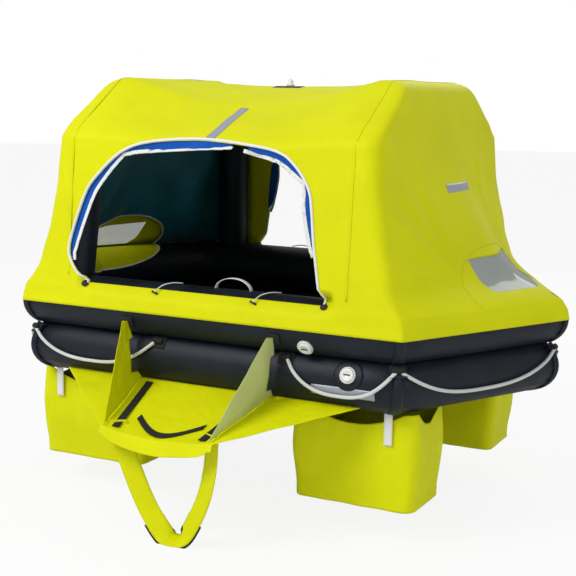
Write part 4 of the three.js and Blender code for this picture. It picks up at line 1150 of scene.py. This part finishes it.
class RAFT_OT_doorways(bpy.types.Operator):
    """Make the piping, gathered flaps and sill toggles of both doorways"""

    bl_idname = "raft.doorways"
    bl_label = "Doorways"

    def execute(self, context):
        self.piping()
        self.flaps()
        self.toggles()
        return {"FINISHED"}

    def piping(self):
        """Piping round each doorway's edge, with a black stop at each end"""
        radius = sizes().piping / 2
        path = [on_wall(p.x, p.z, radius * 0.5)[0] for p in door_edge(radius)]
        both("piping_near", cord_tube(path, radius, 12), "white_webbing", "near_door_piping")
        for hand, x in STOPS:
            at, out = on_wall(x, STOP_Z, 0.001)
            both(f"piping_stop_near_{hand}", spun(STOP_PROFILE, at, out, 24), "black_plastic")

    def flaps(self):
        """Flaps tied back along each side of a doorway, with white edging"""
        middle = FLAP_TIES[2]
        for hand, near, far in (("left", FLAP_TIES[0], middle), ("right", middle + 0.02, FLAP_TIES[4])):
            both(f"flap_near_{hand}", self.bundle(near, far), "flap_cloth", f"near_door_flap_{hand}")
            both(f"flap_edging_near_{hand}", self.edging(near, far), "white_webbing", thickness=0.0012)

    def bundle(self, near, far):
        """A rolled strip of cloth behind the doorway's edge, full of lengthwise pleats"""
        edge = door_edge(0.0, near, far)
        inner = door_edge(-1.0, near, far)
        count = len(edge) - 1
        round_steps = 28

        def place(u, v):
            i = min(round(v * count), count)
            s = near + (far - near) * v
            width = flap_width(s) + FLAP_LAP
            inward = (inner[i] - edge[i]).normalized()
            wall, out = on_wall(edge[i].x, edge[i].z)
            turn = math.tau * (round(u * round_steps) % round_steps) / round_steps
            middle = edge[i] + inward * (width / 2 - FLAP_LAP)
            pleat = 1 + 0.16 * math.sin(5 * turn + 9 * s) + 0.2 * noise.noise(Vector((s * 30, turn, near * 7)))
            end = smoothstep(min(v, 1 - v), -0.004, 0.03)
            across = math.cos(turn) * width / 2 * (0.35 + 0.65 * end)
            deep = math.sin(turn) * 0.0046 * pleat * (0.3 + 0.7 * end)
            at = middle + inward * across
            return Vector((at.x, wall.y, at.z)) - out * (0.0115 + deep)

        bm = surface(round_steps, count, place, 1e-4)
        bmesh.ops.holes_fill(bm, edges=bm.edges)
        bmesh.ops.recalc_face_normals(bm, faces=bm.faces)
        return bm

    def edging(self, near, far):
        """White tape along the flap's inner edge"""
        path = []
        for k in range(97):
            s = near + (far - near) * k / 96
            point = door_edge(-flap_width(s))[round(s * DOOR_STEPS)]
            wall, out = on_wall(*door_edge(0.0)[round(s * DOOR_STEPS)].xz)
            path.append((Vector((point.x, wall.y, point.z)) - out * 0.0070, out))
        return strip_on(path, 0.017, 3)

    def toggles(self):
        """Black toggles on pale cords that hold the sill's edge to the tube"""
        tilt = Vector((math.cos(TOGGLE_TILT), 0, -math.sin(TOGGLE_TILT)))
        for i in (1, 2):
            low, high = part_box(f"near_toggle_{i}")
            middle = (low + high) / 2
            both(f"toggle_near_{i}", spun(TOGGLE_PROFILE, middle, tilt, 24), "black_plastic", f"near_toggle_{i}")
            path = smooth_path([middle + Vector(p) for p in TOGGLE_CORD], 36)
            both(f"sill_loop_near_{i}", cord_tube(path, 0.0028, 8), "rope_braid")


# Arches and liner


ARCH_STEPS = 8
ARCH_CLEAR = 0.055


def moved_in(path, distances):
    """A path in Y and Z moved in, each length by its own distance"""
    normals = []
    for a, b in zip(path, path[1:]):
        d = (b - a).normalized()
        normals.append(Vector((d.y, -d.x)))
    moved = [path[0] + normals[0] * distances[0]]
    for i in range(1, len(path) - 1):
        m, n = normals[i - 1], normals[i]
        c0, c1 = m.dot(path[i]) + distances[i - 1], n.dot(path[i]) + distances[i]
        det = m.x * n.y - m.y * n.x
        moved.append(Vector(((c0 * n.y - c1 * m.y) / det, (m.x * c1 - n.x * c0) / det)))
    moved.append(path[-1] + normals[-1] * distances[-1])
    return moved


class RAFT_OT_arches(bpy.types.Operator):
    """Make the two arch tubes with mitred bends"""

    bl_idname = "raft.arches"
    bl_label = "Arch tubes"

    def execute(self, context):
        foot = HULL_TOP - 0.030
        wall = [(-wall_y(foot), foot), (-KNEE[0], KNEE[1]), (-SHOULDER_Y, ROOF_Z)]
        wall += [(-y, z) for y, z in reversed(wall)]
        inset = FABRIC + GAP + ARCH_R
        leg = inset + FLAP_SPACE
        path = moved_in([Vector(p) for p in wall], [leg, inset, inset, inset, leg])
        top = ROOF_Z - inset
        bm = bmesh.new()
        rings = []
        count = len(path)
        for i, q in enumerate(path):
            before = (q - path[max(i - 1, 0)]).normalized() if i else (path[1] - q).normalized()
            after = (path[i + 1] - q).normalized() if i < count - 1 else before
            n0, n1 = Vector((-before.y, before.x)), Vector((-after.y, after.x))
            mitre = (n0 + n1) / (1 + n0.dot(n1))
            rings.append(self.station(bm, q, mitre, top))
            if i == count - 1:
                continue
            length = (path[i + 1] - q).length
            for k in range(ARCH_STEPS + 1):
                at = q + after * (ARCH_CLEAR + (length - 2 * ARCH_CLEAR) * k / ARCH_STEPS)
                rings.append(self.station(bm, at, n1, top))
        bridge(bm, rings, caps=True)
        both("arch_skin_right", bm, "tube_rubber", "arch_right")
        return {"FINISHED"}

    def station(self, bm, q, mitre, top):
        x = ARCH_FOOT_X + (ARCH_TOP_X - ARCH_FOOT_X) * (q.y - HULL_TOP) / (top - HULL_TOP)
        return ring(bm, (x, q.x, q.y), (1, 0, 0), (0, mitre.x, mitre.y), ARCH_R, 40)


class RAFT_OT_liner(bpy.types.Operator):
    """Hang the lining inside each end"""

    bl_idname = "raft.liner"
    bl_label = "Liner"

    def execute(self, context):
        bm = canopy_skin(LINER_IN, self.folds)
        for axis, keep in (((1, 0, 0), ARCH_TOP_X + 0.03), ((0, 0, 1), HULL_TOP + 0.004)):
            geometry = bm.verts[:] + bm.edges[:] + bm.faces[:]
            at = Vector(axis) * keep
            bmesh.ops.bisect_plane(bm, geom=geometry, plane_co=at, plane_no=axis, clear_inner=True)
        geometry = bm.verts[:] + bm.edges[:] + bm.faces[:]
        bmesh.ops.bisect_plane(bm, geom=geometry, plane_co=(0, 0, LINER_TOP), plane_no=(0, 0, 1), clear_outer=True)
        piece = show("liner_skin_right", bm, "liner_cloth", replaces=["liner_right"], thickness=0.0018)
        cut(piece, self.opening())
        turned(piece, "liner_skin_left", ["liner_left"])
        self.edging()
        self.apron()
        return {"FINISHED"}

    def apron(self):
        """Canopy cloth that laps from the window's patch over the inner side of the upper tube"""

        def place(u, v):
            y = -0.40 + 0.80 * u
            low = 78 * max(0.0, 1 - (2 * u - 1) ** 2) ** 0.5
            angle = math.radians(100 - (14 + low) * v)
            lift = TUBE_R + 0.0035
            x = tip_x(-lift * abs(math.cos(angle))) - abs(y) * math.tan(LEAN)
            return Vector((x, y, UPPER_Z + lift * math.sin(angle)))

        both("apron_right", surface(48, 20, place), "canopy_cloth", thickness=0.0020)
        hem = [place(k / 48, 1.0) + Vector((-0.003, 0, 0.003)) for k in range(49)]
        both("apron_hem_right", cord_tube(hem, 0.005, 8), "white_webbing")

    def outline(self):
        return smooth_path(LINER_EDGE, 48)

    def opening(self):
        points = [(0.84, p.x, p.y) for p in self.outline()]
        points += [(0.84, 0.42, 0.44), (0.84, -0.42, 0.44)]
        return prism(points, (0.6, 0, 0))

    def folds(self, co, normal):
        """Slanting drapes, deeper towards the middle of the end"""
        x, y, z = co
        slant = math.sin(17 * (abs(y) * 0.9 + z * 0.8) + 2.5 * noise.noise(Vector((y * 2, z * 2, x))))
        return 0.008 * slant + 0.006 * noise.noise(Vector((x * 7, y * 7, z * 6)))

    def edging(self):
        """White binding round the liner's opening"""
        bm = canopy_skin(LINER_IN, self.folds)
        tree = BVHTree.FromBMesh(bm)
        bm.free()
        line = []
        for p in self.outline():
            at, _, _, _ = tree.ray_cast(Vector((1.9, p.x, p.y)), Vector((-1, 0, 0)))
            if at is not None:
                line.append(at)
        both("liner_binding_right", cord_tube(line, 0.0045, 8), "white_webbing")


# Boarding platform and step


WING_COLS = 3
MID_COLS = 8
PLATFORM_ROWS = 6


def platform_root():
    reach = TUBE_R + GAP + PLATFORM_T / 2
    return HALF_WIDTH - LOWER_INSET + reach * math.cos(PLATFORM_SEAT), LOWER_Z + reach * math.sin(PLATFORM_SEAT)


def platform_point(row, col):
    """A point of the platform's cloth, at rows from the hull to the lip and columns from end to end"""
    v = min(row / PLATFORM_ROWS, 1)
    if col <= WING_COLS:
        root = -PLATFORM_HALF + (PLATFORM_HALF - PLATFORM_MID) * col / WING_COLS
        front = -PLATFORM_FRONT_HALF - (WING_COLS - col) * 0.006
    elif col >= WING_COLS + MID_COLS:
        k = col - WING_COLS - MID_COLS
        root = PLATFORM_MID + (PLATFORM_HALF - PLATFORM_MID) * k / WING_COLS
        front = PLATFORM_FRONT_HALF + k * 0.006
    else:
        u = -1 + 2 * (col - WING_COLS) / MID_COLS
        root, front = PLATFORM_MID * u, PLATFORM_FRONT_HALF * u
    root_y, root_z = platform_root()
    x = root + (front - root) * v
    y = -root_y + (root_y - PLATFORM_FRONT_Y) * v
    middle = max(0.0, 1 - (front / PLATFORM_FRONT_HALF) ** 2)
    z = root_z + (PLATFORM_FRONT_Z - root_z) * v - 0.026 * middle * math.sin(math.pi * v * 0.6)
    if row <= PLATFORM_ROWS:
        return Vector((x, y, z))
    drop = (row - PLATFORM_ROWS) * PLATFORM_LIP * 0.5
    return Vector((x, y - drop * 0.25, z - drop * (0.45 + 0.55 * math.sqrt(middle))))


def webbing_on_platform(path_of, width, across, steps=40):
    path = [path_of(k / steps) + Vector((0, 0, 0.0058)) for k in range(steps + 1)]
    return ribbon(path, across, width, 3)


class RAFT_OT_platform(bpy.types.Operator):
    """Make the boarding platform, its gussets, webbing and step loop"""

    bl_idname = "raft.platform"
    bl_label = "Boarding platform"

    def execute(self, context):
        cols = 2 * WING_COLS + MID_COLS

        def sheet_at(u, v):
            point = platform_point(v * (PLATFORM_ROWS + 2), u * cols)
            wave = noise.noise(Vector((point.x * 6, point.y * 9, 1))) + 0.5 * math.sin(point.x * 30 + point.y * 12)
            return point + Vector((0, 0, 0.0022 * wave * smoothstep(v, 0.0, 0.2)))

        show(
            "platform_sheet", surface(112, 64, sheet_at), "pocket_cloth",
            replaces=["boarding_platform"], thickness=0.0022,
        )
        for hand, col in (("left", WING_COLS + 0.75), ("right", WING_COLS + MID_COLS - 0.75)):
            strip = webbing_on_platform(lambda v, c=col: platform_point(0.5 + 5.2 * v, c), 0.036, lambda v: (1, 0, 0))
            show(f"webbing_{hand}", strip, "black_webbing", replaces=[f"platform_webbing_{hand}"], thickness=0.0024)
        front = webbing_on_platform(
            lambda v: platform_point(4.1 + 1.35 * math.sin(math.pi * v), WING_COLS + 1.7 + v * (MID_COLS - 3.4)),
            0.036, lambda v: (0, 1, 0.25),
        )
        show("webbing_front", front, "black_webbing", replaces=["platform_webbing_front"], thickness=0.0024)
        for hand, side in (("left", -1), ("right", 1)):
            self.gusset(hand, side)
        self.step()
        return {"FINISHED"}

    def gusset(self, hand, side):
        angle = math.asin((GUSSET_Z - UPPER_Z) / TUBE_R)
        top = Vector((side * GUSSET_X, -(HALF_WIDTH + (TUBE_R + 0.001) * math.cos(angle)), GUSSET_Z))
        root_y, root_z = platform_root()
        lift = PLATFORM_T + 0.004
        root = Vector((side * PLATFORM_MID, -root_y + 0.020, root_z + lift))
        front = Vector((side * PLATFORM_FRONT_HALF, -PLATFORM_FRONT_Y, PLATFORM_FRONT_Z + lift))
        top_front = top + Vector((-side * 0.006, -0.052, 0.008))

        def place(u, v):
            back = top.lerp(root, v)
            reach = HALF_WIDTH - LOWER_INSET + 0.152
            back.y = min(back.y, -reach) if 0.06 < back.z < 0.22 else back.y
            ahead = top_front.lerp(front, v)
            point = back.lerp(ahead, u)
            bow = math.sin(math.pi * u) * math.sin(math.pi * v)
            ripple = noise.noise(Vector((u * 3, v * 4, side)))
            return point + Vector((side * (0.006 * bow + 0.004 * ripple), 0, 0))

        look = "pocket_cloth" if side < 0 else "cream_cloth"
        show(f"gusset_cloth_{hand}", surface(20, 40, place), look, replaces=[f"gusset_{hand}"], thickness=0.002)
        basis = Matrix.Rotation(math.radians(20), 4, "X")
        basis.translation = top + Vector((0, -0.002, -0.004))
        show(f"gusset_patch_{hand}", block((0.056, 0.004, 0.052), basis, 0.0015), "black_webbing")

    def step(self):
        y = -PLATFORM_FRONT_Y + 0.055
        shape = ((-0.87, -0.05), (-0.85, 0.04), (-0.66, 0.30), (-0.34, 0.67), (-0.02, 0.92), (0.22, 1.0),
                 (0.46, 0.92), (0.76, 0.60), (0.90, 0.30), (0.94, 0.04), (0.94, -0.05))
        path = smooth_path([(u * PLATFORM_FRONT_HALF, y, PLATFORM_FRONT_Z - d * STEP_DROP) for u, d in shape], 90)

        def twisted(v):
            tangent = along(path, min(1.0, v + 0.02)) - along(path, max(0.0, v - 0.02))
            tangent.normalize()
            inward = Vector((-tangent.z, 0, tangent.x))
            share = 0.32 + 0.60 * smoothstep(abs(tangent.z), 0.25, 0.9)
            return (inward * share + Vector((0, 1, 0)) * math.sqrt(1 - share**2)).normalized()

        def under_pad(v):
            return twisted((32 + 27 * v) / 90)

        show(
            "step_webbing", ribbon(path, twisted, 0.088, 6), "pocket_cloth",
            replaces=["step_loop"], thickness=0.003,
        )
        pad = [p + Vector((0, 0, -0.0065)) for p in path[32:60]]
        show(
            "step_pad_skin", ribbon(pad, under_pad, 0.096, 6), "black_webbing",
            replaces=["step_pad"], thickness=0.005,
        )


class RAFT_OT_pockets(bpy.types.Operator):
    """Hang the ballast pockets under the hull"""

    bl_idname = "raft.pockets"
    bl_label = "Ballast pockets"

    def execute(self, context):
        y = HALF_WIDTH - LOWER_INSET - POCKET_D / 2
        for name, sx, sy in (("near_right", 1, -1), ("near_left", -1, -1), ("far_right", 1, 1), ("far_left", -1, 1)):
            self.pocket(name, sx * POCKET_X, sy * y, sx, sy)
        return {"FINISHED"}

    def outline(self, turn, width, depth):
        """A point a share of the way round a rounded rectangle"""
        w, d, r = width / 2, depth / 2, POCKET_R
        sides = (2 * (d - r), math.pi * r / 2, 2 * (w - r), math.pi * r / 2) * 2
        at = turn * sum(sides)
        centres = ((w - r, -d + r), (w - r, d - r), (-w + r, d - r), (-w + r, -d + r))
        for k, length in enumerate(sides):
            if at > length and k < 7:
                at -= length
                continue
            corner = Vector(centres[(k // 2 + 1) % 4])
            if k % 2:
                angle = (k // 2) * math.pi / 2 + at / r
                return corner + Vector((math.cos(angle), math.sin(angle))) * r
            heading = Vector((-math.sin(k // 2 * math.pi / 2), math.cos(k // 2 * math.pi / 2)))
            out = Vector((heading.y, -heading.x))
            return Vector(centres[k // 2]) + out * r + heading * at
        return Vector((w, -d + r))

    def pocket(self, name, x, y, sx, sy):
        count = 120
        w, d = POCKET_W / 2, POCKET_D / 2

        def wall(u, v):
            turn = (round(u * count) % count) / count
            swell = 1 + 0.05 * math.sin(math.pi * min(1, 1.15 * (1 - v))) - 0.012 * (1 - v) ** 2
            point = self.outline(turn, POCKET_W * swell, POCKET_D * swell)
            p = min(1, abs(point.x) / (w - POCKET_R))
            q = min(1, abs(point.y) / (d - POCKET_R))
            rim = max(1 - p**2, 1 - q**2) if p == 1 or q == 1 else 0
            top = -GAP - POCKET_MOUTH * rim - 0.001
            z = -POCKET_H + (top + POCKET_H) * v
            pleat = math.sin(turn * 90 + 3 * noise.noise(Vector((turn * 9, v * 3, x))))
            crumple = noise.noise(Vector((point.x * 9 + x, point.y * 9 + y, z * 6)))
            shift = 1 + 0.010 * pleat * v**2 + 0.022 * crumple * math.sin(math.pi * min(1, v * 1.1)) ** 0.5
            return Vector((x + point.x * shift, y + point.y * shift, z + 0.004 * crumple * (1 - v)))

        bm = surface(count, 40, wall, 1e-4)
        base = [e for e in bm.edges if e.is_boundary and max(v.co.z for v in e.verts) < -POCKET_H + 0.02]
        filled = bmesh.ops.edgeloop_fill(bm, edges=base)
        bmesh.ops.inset_region(bm, faces=filled["faces"], thickness=0.02, use_even_offset=True)
        bmesh.ops.recalc_face_normals(bm, faces=bm.faces)
        piece = show(
            f"pocket_cloth_{name}", bm, "pocket_cloth", replaces=[f"pocket_{name}"],
            thickness=0.002, offset=-1,
        )
        low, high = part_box(f"pocket_strap_{name}")
        middle = (low + high) / 2

        def strap(u, v):
            z = low.z + (high.z - low.z) * v
            return Vector((low.x + (high.x - low.x) * u, middle.y, z))

        show(
            f"strap_{name}", surface(3, 16, strap), "white_webbing",
            replaces=[f"pocket_strap_{name}"], thickness=0.002,
        )


class RAFT_OT_fittings(bpy.types.Operator):
    """Make the valves, roof lamp and grab handle, and give the floor and gas cylinder their finishes"""

    bl_idname = "raft.fittings"
    bl_label = "Fittings"

    def execute(self, context):
        self.valve("upper", 0.520, HALF_WIDTH, UPPER_Z, math.radians(-36), 0.0)
        self.valve("lower", 0.714, HALF_WIDTH - LOWER_INSET, LOWER_Z, math.radians(21), 0.002)
        self.lamp()
        self.handle()
        self.keep_solids()
        return {"FINISHED"}

    def valve(self, name, x, axis_y, axis_z, angle, rise):
        out = Vector((0, -math.cos(angle), math.sin(angle)))
        at = Vector((x, -axis_y, axis_z)) + out * (TUBE_R + rise)
        collar = [(0.0, -0.004), (0.036, -0.004), (0.036, 0.006), (0.0355, 0.0078), (0.034, 0.009),
                  (0.0325, 0.009), (0.031, 0.0075), (0.031, 0.003), (0.0, 0.003)]
        show(f"valve_collar_{name}", spun(collar, at, out), "white_plastic", replaces=[f"{name}_valve_collar"])
        cap = [(0.0, 0.0034), (0.0296, 0.0034), (0.0300, 0.010), (0.0290, 0.0125), (0.0272, 0.0148),
               (0.0185, 0.0148), (0.0165, 0.0140), (0.0150, 0.0130), (0.0, 0.0130)]
        body = f"{name}_valve_cap_body"
        show(f"valve_cap_{name}", spun(cap, at, out), "white_plastic", body=body, replaces=[f"{name}_valve_cap"])
        turn = out.to_track_quat("Y", "Z").to_matrix().to_4x4()
        turn.translation = at + out * 0.0135
        show(f"valve_grip_{name}", block((0.030, 0.006, 0.0045), turn, 0.0015), "black_plastic", body=body)
        if name == "lower":
            self.patch_disc(x, axis_y, axis_z, angle)

    def patch_disc(self, x, axis_y, axis_z, angle):
        """The round patch bonded under the lower valve"""

        def place(u, v):
            turn = math.tau * (round(u * 48) % 48) / 48
            reach = 0.066 * v
            lean = angle + reach * math.sin(turn) / TUBE_R
            radius = TUBE_R + 0.0018
            return Vector((
                x + reach * math.cos(turn), -(axis_y + radius * math.cos(lean)), axis_z + radius * math.sin(lean)
            ))

        show("valve_patch_lower", surface(48, 8, place, 1e-5), "tube_rubber", thickness=0.0016)

    def lamp(self):
        low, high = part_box("lamp_patch")

        def patch(u, v):
            x = low.x + (high.x - low.x) * u
            y = low.y + (high.y - low.y) * v
            at, _, _, _ = canopy_tree().ray_cast(Vector((x, y, 1.8)), Vector((0, 0, -1)))
            return at + Vector((0, 0, 0.0012))

        show("lamp_patch_cloth", surface(24, 16, patch), "black_webbing", replaces=["lamp_patch"], thickness=0.0016)
        low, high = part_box("roof_lamp")
        profile = [(0.0, 0.0), (0.020, 0.0), (0.020, 0.007), (0.0185, 0.009), (0.0145, 0.011), (0.0135, 0.014),
                   (0.0130, 0.024), (0.0105, 0.030), (0.006, 0.034), (0.0, 0.035)]
        show(
            "roof_lamp_body", spun(profile, (0, 0, low.z - 0.001), (0, 0, 1)), "white_plastic",
            replaces=["roof_lamp"],
        )

    def handle(self):
        low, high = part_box("grab_handle")
        middle = (low + high) / 2
        half, rise = (high.x - low.x) / 2, high.z - low.z
        path = [
            Vector((middle.x - half * math.cos(math.pi * k / 40), middle.y, low.z + rise * math.sin(math.pi * k / 40)))
            for k in range(41)
        ]
        show(
            "grab_handle_webbing", ribbon(path, lambda v: (0, 1, 0), 0.025, 3), "white_webbing",
            replaces=["grab_handle"], thickness=0.0024,
        )

    def keep_solids(self):
        """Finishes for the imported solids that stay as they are"""
        for name, look in (
            ("floor", "tube_rubber"), ("gas_cylinder", "cylinder_paint"), ("cylinder_head", "cylinder_paint"),
            ("cylinder_sling_left", "black_webbing"), ("cylinder_sling_right", "black_webbing"),
        ):
            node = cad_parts[name]
            node.data.materials.clear()
            node.data.materials.append(material_of(look))


# Stage


def camera_rotation():
    yaw, pitch, roll = CAMERA_YAW, CAMERA_PITCH, CAMERA_ROLL
    ahead = Vector((-math.sin(yaw) * math.cos(pitch), math.cos(yaw) * math.cos(pitch), -math.sin(pitch)))
    right = Vector((math.cos(yaw), math.sin(yaw), 0))
    up = right.cross(ahead)
    rolled = right * math.cos(roll) + up * math.sin(roll)
    upright = up * math.cos(roll) - right * math.sin(roll)
    return Matrix((rolled, upright, -ahead)).transposed().to_4x4()


class RAFT_OT_stage(bpy.types.Operator):
    """Set the camera, lamps, floor and backdrop"""

    bl_idname = "raft.stage"
    bl_label = "Stage"

    def execute(self, context):
        scene = context.scene
        scene.view_settings.view_transform = "Standard"
        lens = bpy.data.cameras.new("camera")
        lens.lens = CAMERA_LENS
        lens.sensor_width = 36
        camera = bpy.data.objects.new("camera", lens)
        camera.matrix_world = Matrix.Translation(CAMERA_AT) @ camera_rotation()
        scene.collection.objects.link(camera)
        scene.camera = camera
        for lamp in LAMPS:
            self.lamp(*lamp)
        self.world(scene)
        self.floor(scene)
        return {"FINISHED"}

    def lamp(self, name, at, size, power):
        light = bpy.data.lights.new(name, "AREA")
        light.size = size
        light.energy = power
        lamp = bpy.data.objects.new(name, light)
        aim = (Vector((0, 0, 0.5)) - Vector(at)).to_track_quat("-Z", "Y")
        lamp.matrix_world = Matrix.Translation(at) @ aim.to_matrix().to_4x4()
        bpy.context.scene.collection.objects.link(lamp)

    def world(self, scene):
        """White all round: at full strength where the camera sees it, dimmer as light"""
        scene.world = bpy.data.worlds.new("studio")
        scene.world.use_nodes = True
        tree = scene.world.node_tree
        tree.nodes.clear()
        rays = add(tree, "LightPath", {}).outputs["Is Camera Ray"]
        white = (1, 1, 1, 1)
        lit = add(tree, "Background", {"Color": white, "Strength": WORLD_LIGHT}).outputs["Background"]
        seen = add(tree, "Background", {"Color": white, "Strength": 1.0}).outputs["Background"]
        mix = add(tree, "MixShader", {"Fac": rays, 1: lit, 2: seen})
        add(tree, "OutputWorld", {"Surface": mix.outputs["Shader"]})

    def floor(self, scene):
        """A wide white floor under the lowest piece, with only a faint shadow"""
        bm = bmesh.new()
        bmesh.ops.create_circle(bm, cap_ends=True, segments=96, radius=40)
        bmesh.ops.translate(bm, vec=(0, 0, CAD_BOX[0].z - 0.004), verts=bm.verts)
        mesh = mesh_of("studio_floor", bm)
        material = bpy.data.materials.new("floor_white")
        material.use_nodes = True
        tree = material.node_tree
        matt = feed(tree, tree.nodes["Principled BSDF"], {"Base Color": (0.86, 0.86, 0.86, 1), "Roughness": 0.9})
        bright = add(tree, "Emission", {}).outputs["Emission"]
        rays = add(tree, "LightPath", {}).outputs["Is Camera Ray"]
        share = add(tree, "Math", {0: rays, 1: FLOOR_GLOW}, operation="MULTIPLY").outputs["Value"]
        mix = add(tree, "MixShader", {"Fac": share, 1: matt.outputs["BSDF"], 2: bright})
        feed(tree, tree.nodes["Material Output"], {"Surface": mix.outputs["Shader"]})
        mesh.materials.append(material)
        floor = bpy.data.objects.new("studio_floor", mesh)
        scene.collection.objects.link(floor)


class RAFT_PT_panel(bpy.types.Panel):
    """Lists the raft's sizes, colours and makers"""

    bl_label = "Inflated Liferaft"
    bl_idname = "RAFT_PT_panel"
    bl_space_type = "VIEW_3D"
    bl_region_type = "UI"
    bl_category = "Liferaft"

    def draw(self, context):
        for group in (context.scene.raft_sizes, context.scene.raft_colours):
            for key in group.__annotations__:
                self.layout.prop(group, key)
        for maker in MAKERS:
            self.layout.operator(maker.bl_idname)


MAKERS = (
    RAFT_OT_stage,
    RAFT_OT_lifelines,
    RAFT_OT_tubes,
    RAFT_OT_arches,
    RAFT_OT_canopy,
    RAFT_OT_doorways,
    RAFT_OT_liner,
    RAFT_OT_platform,
    RAFT_OT_pockets,
    RAFT_OT_fittings,
)
CLASSES = (RaftSizes, RaftColours, *MAKERS, RAFT_PT_panel)


def register():
    for cls in CLASSES:
        bpy.utils.register_class(cls)
    bpy.types.Scene.raft_sizes = bpy.props.PointerProperty(type=RaftSizes)
    bpy.types.Scene.raft_colours = bpy.props.PointerProperty(type=RaftColours)


def unregister():
    del bpy.types.Scene.raft_colours
    del bpy.types.Scene.raft_sizes
    for cls in reversed(CLASSES):
        bpy.utils.unregister_class(cls)


def main():
    register()
    bpy.ops.raft.stage()
    bpy.ops.raft.lifelines()
    bpy.ops.raft.tubes()
    bpy.ops.raft.arches()
    bpy.ops.raft.canopy()
    bpy.ops.raft.doorways()
    bpy.ops.raft.liner()
    bpy.ops.raft.platform()
    bpy.ops.raft.pockets()
    bpy.ops.raft.fittings()


if __name__ == "__main__":
    main()
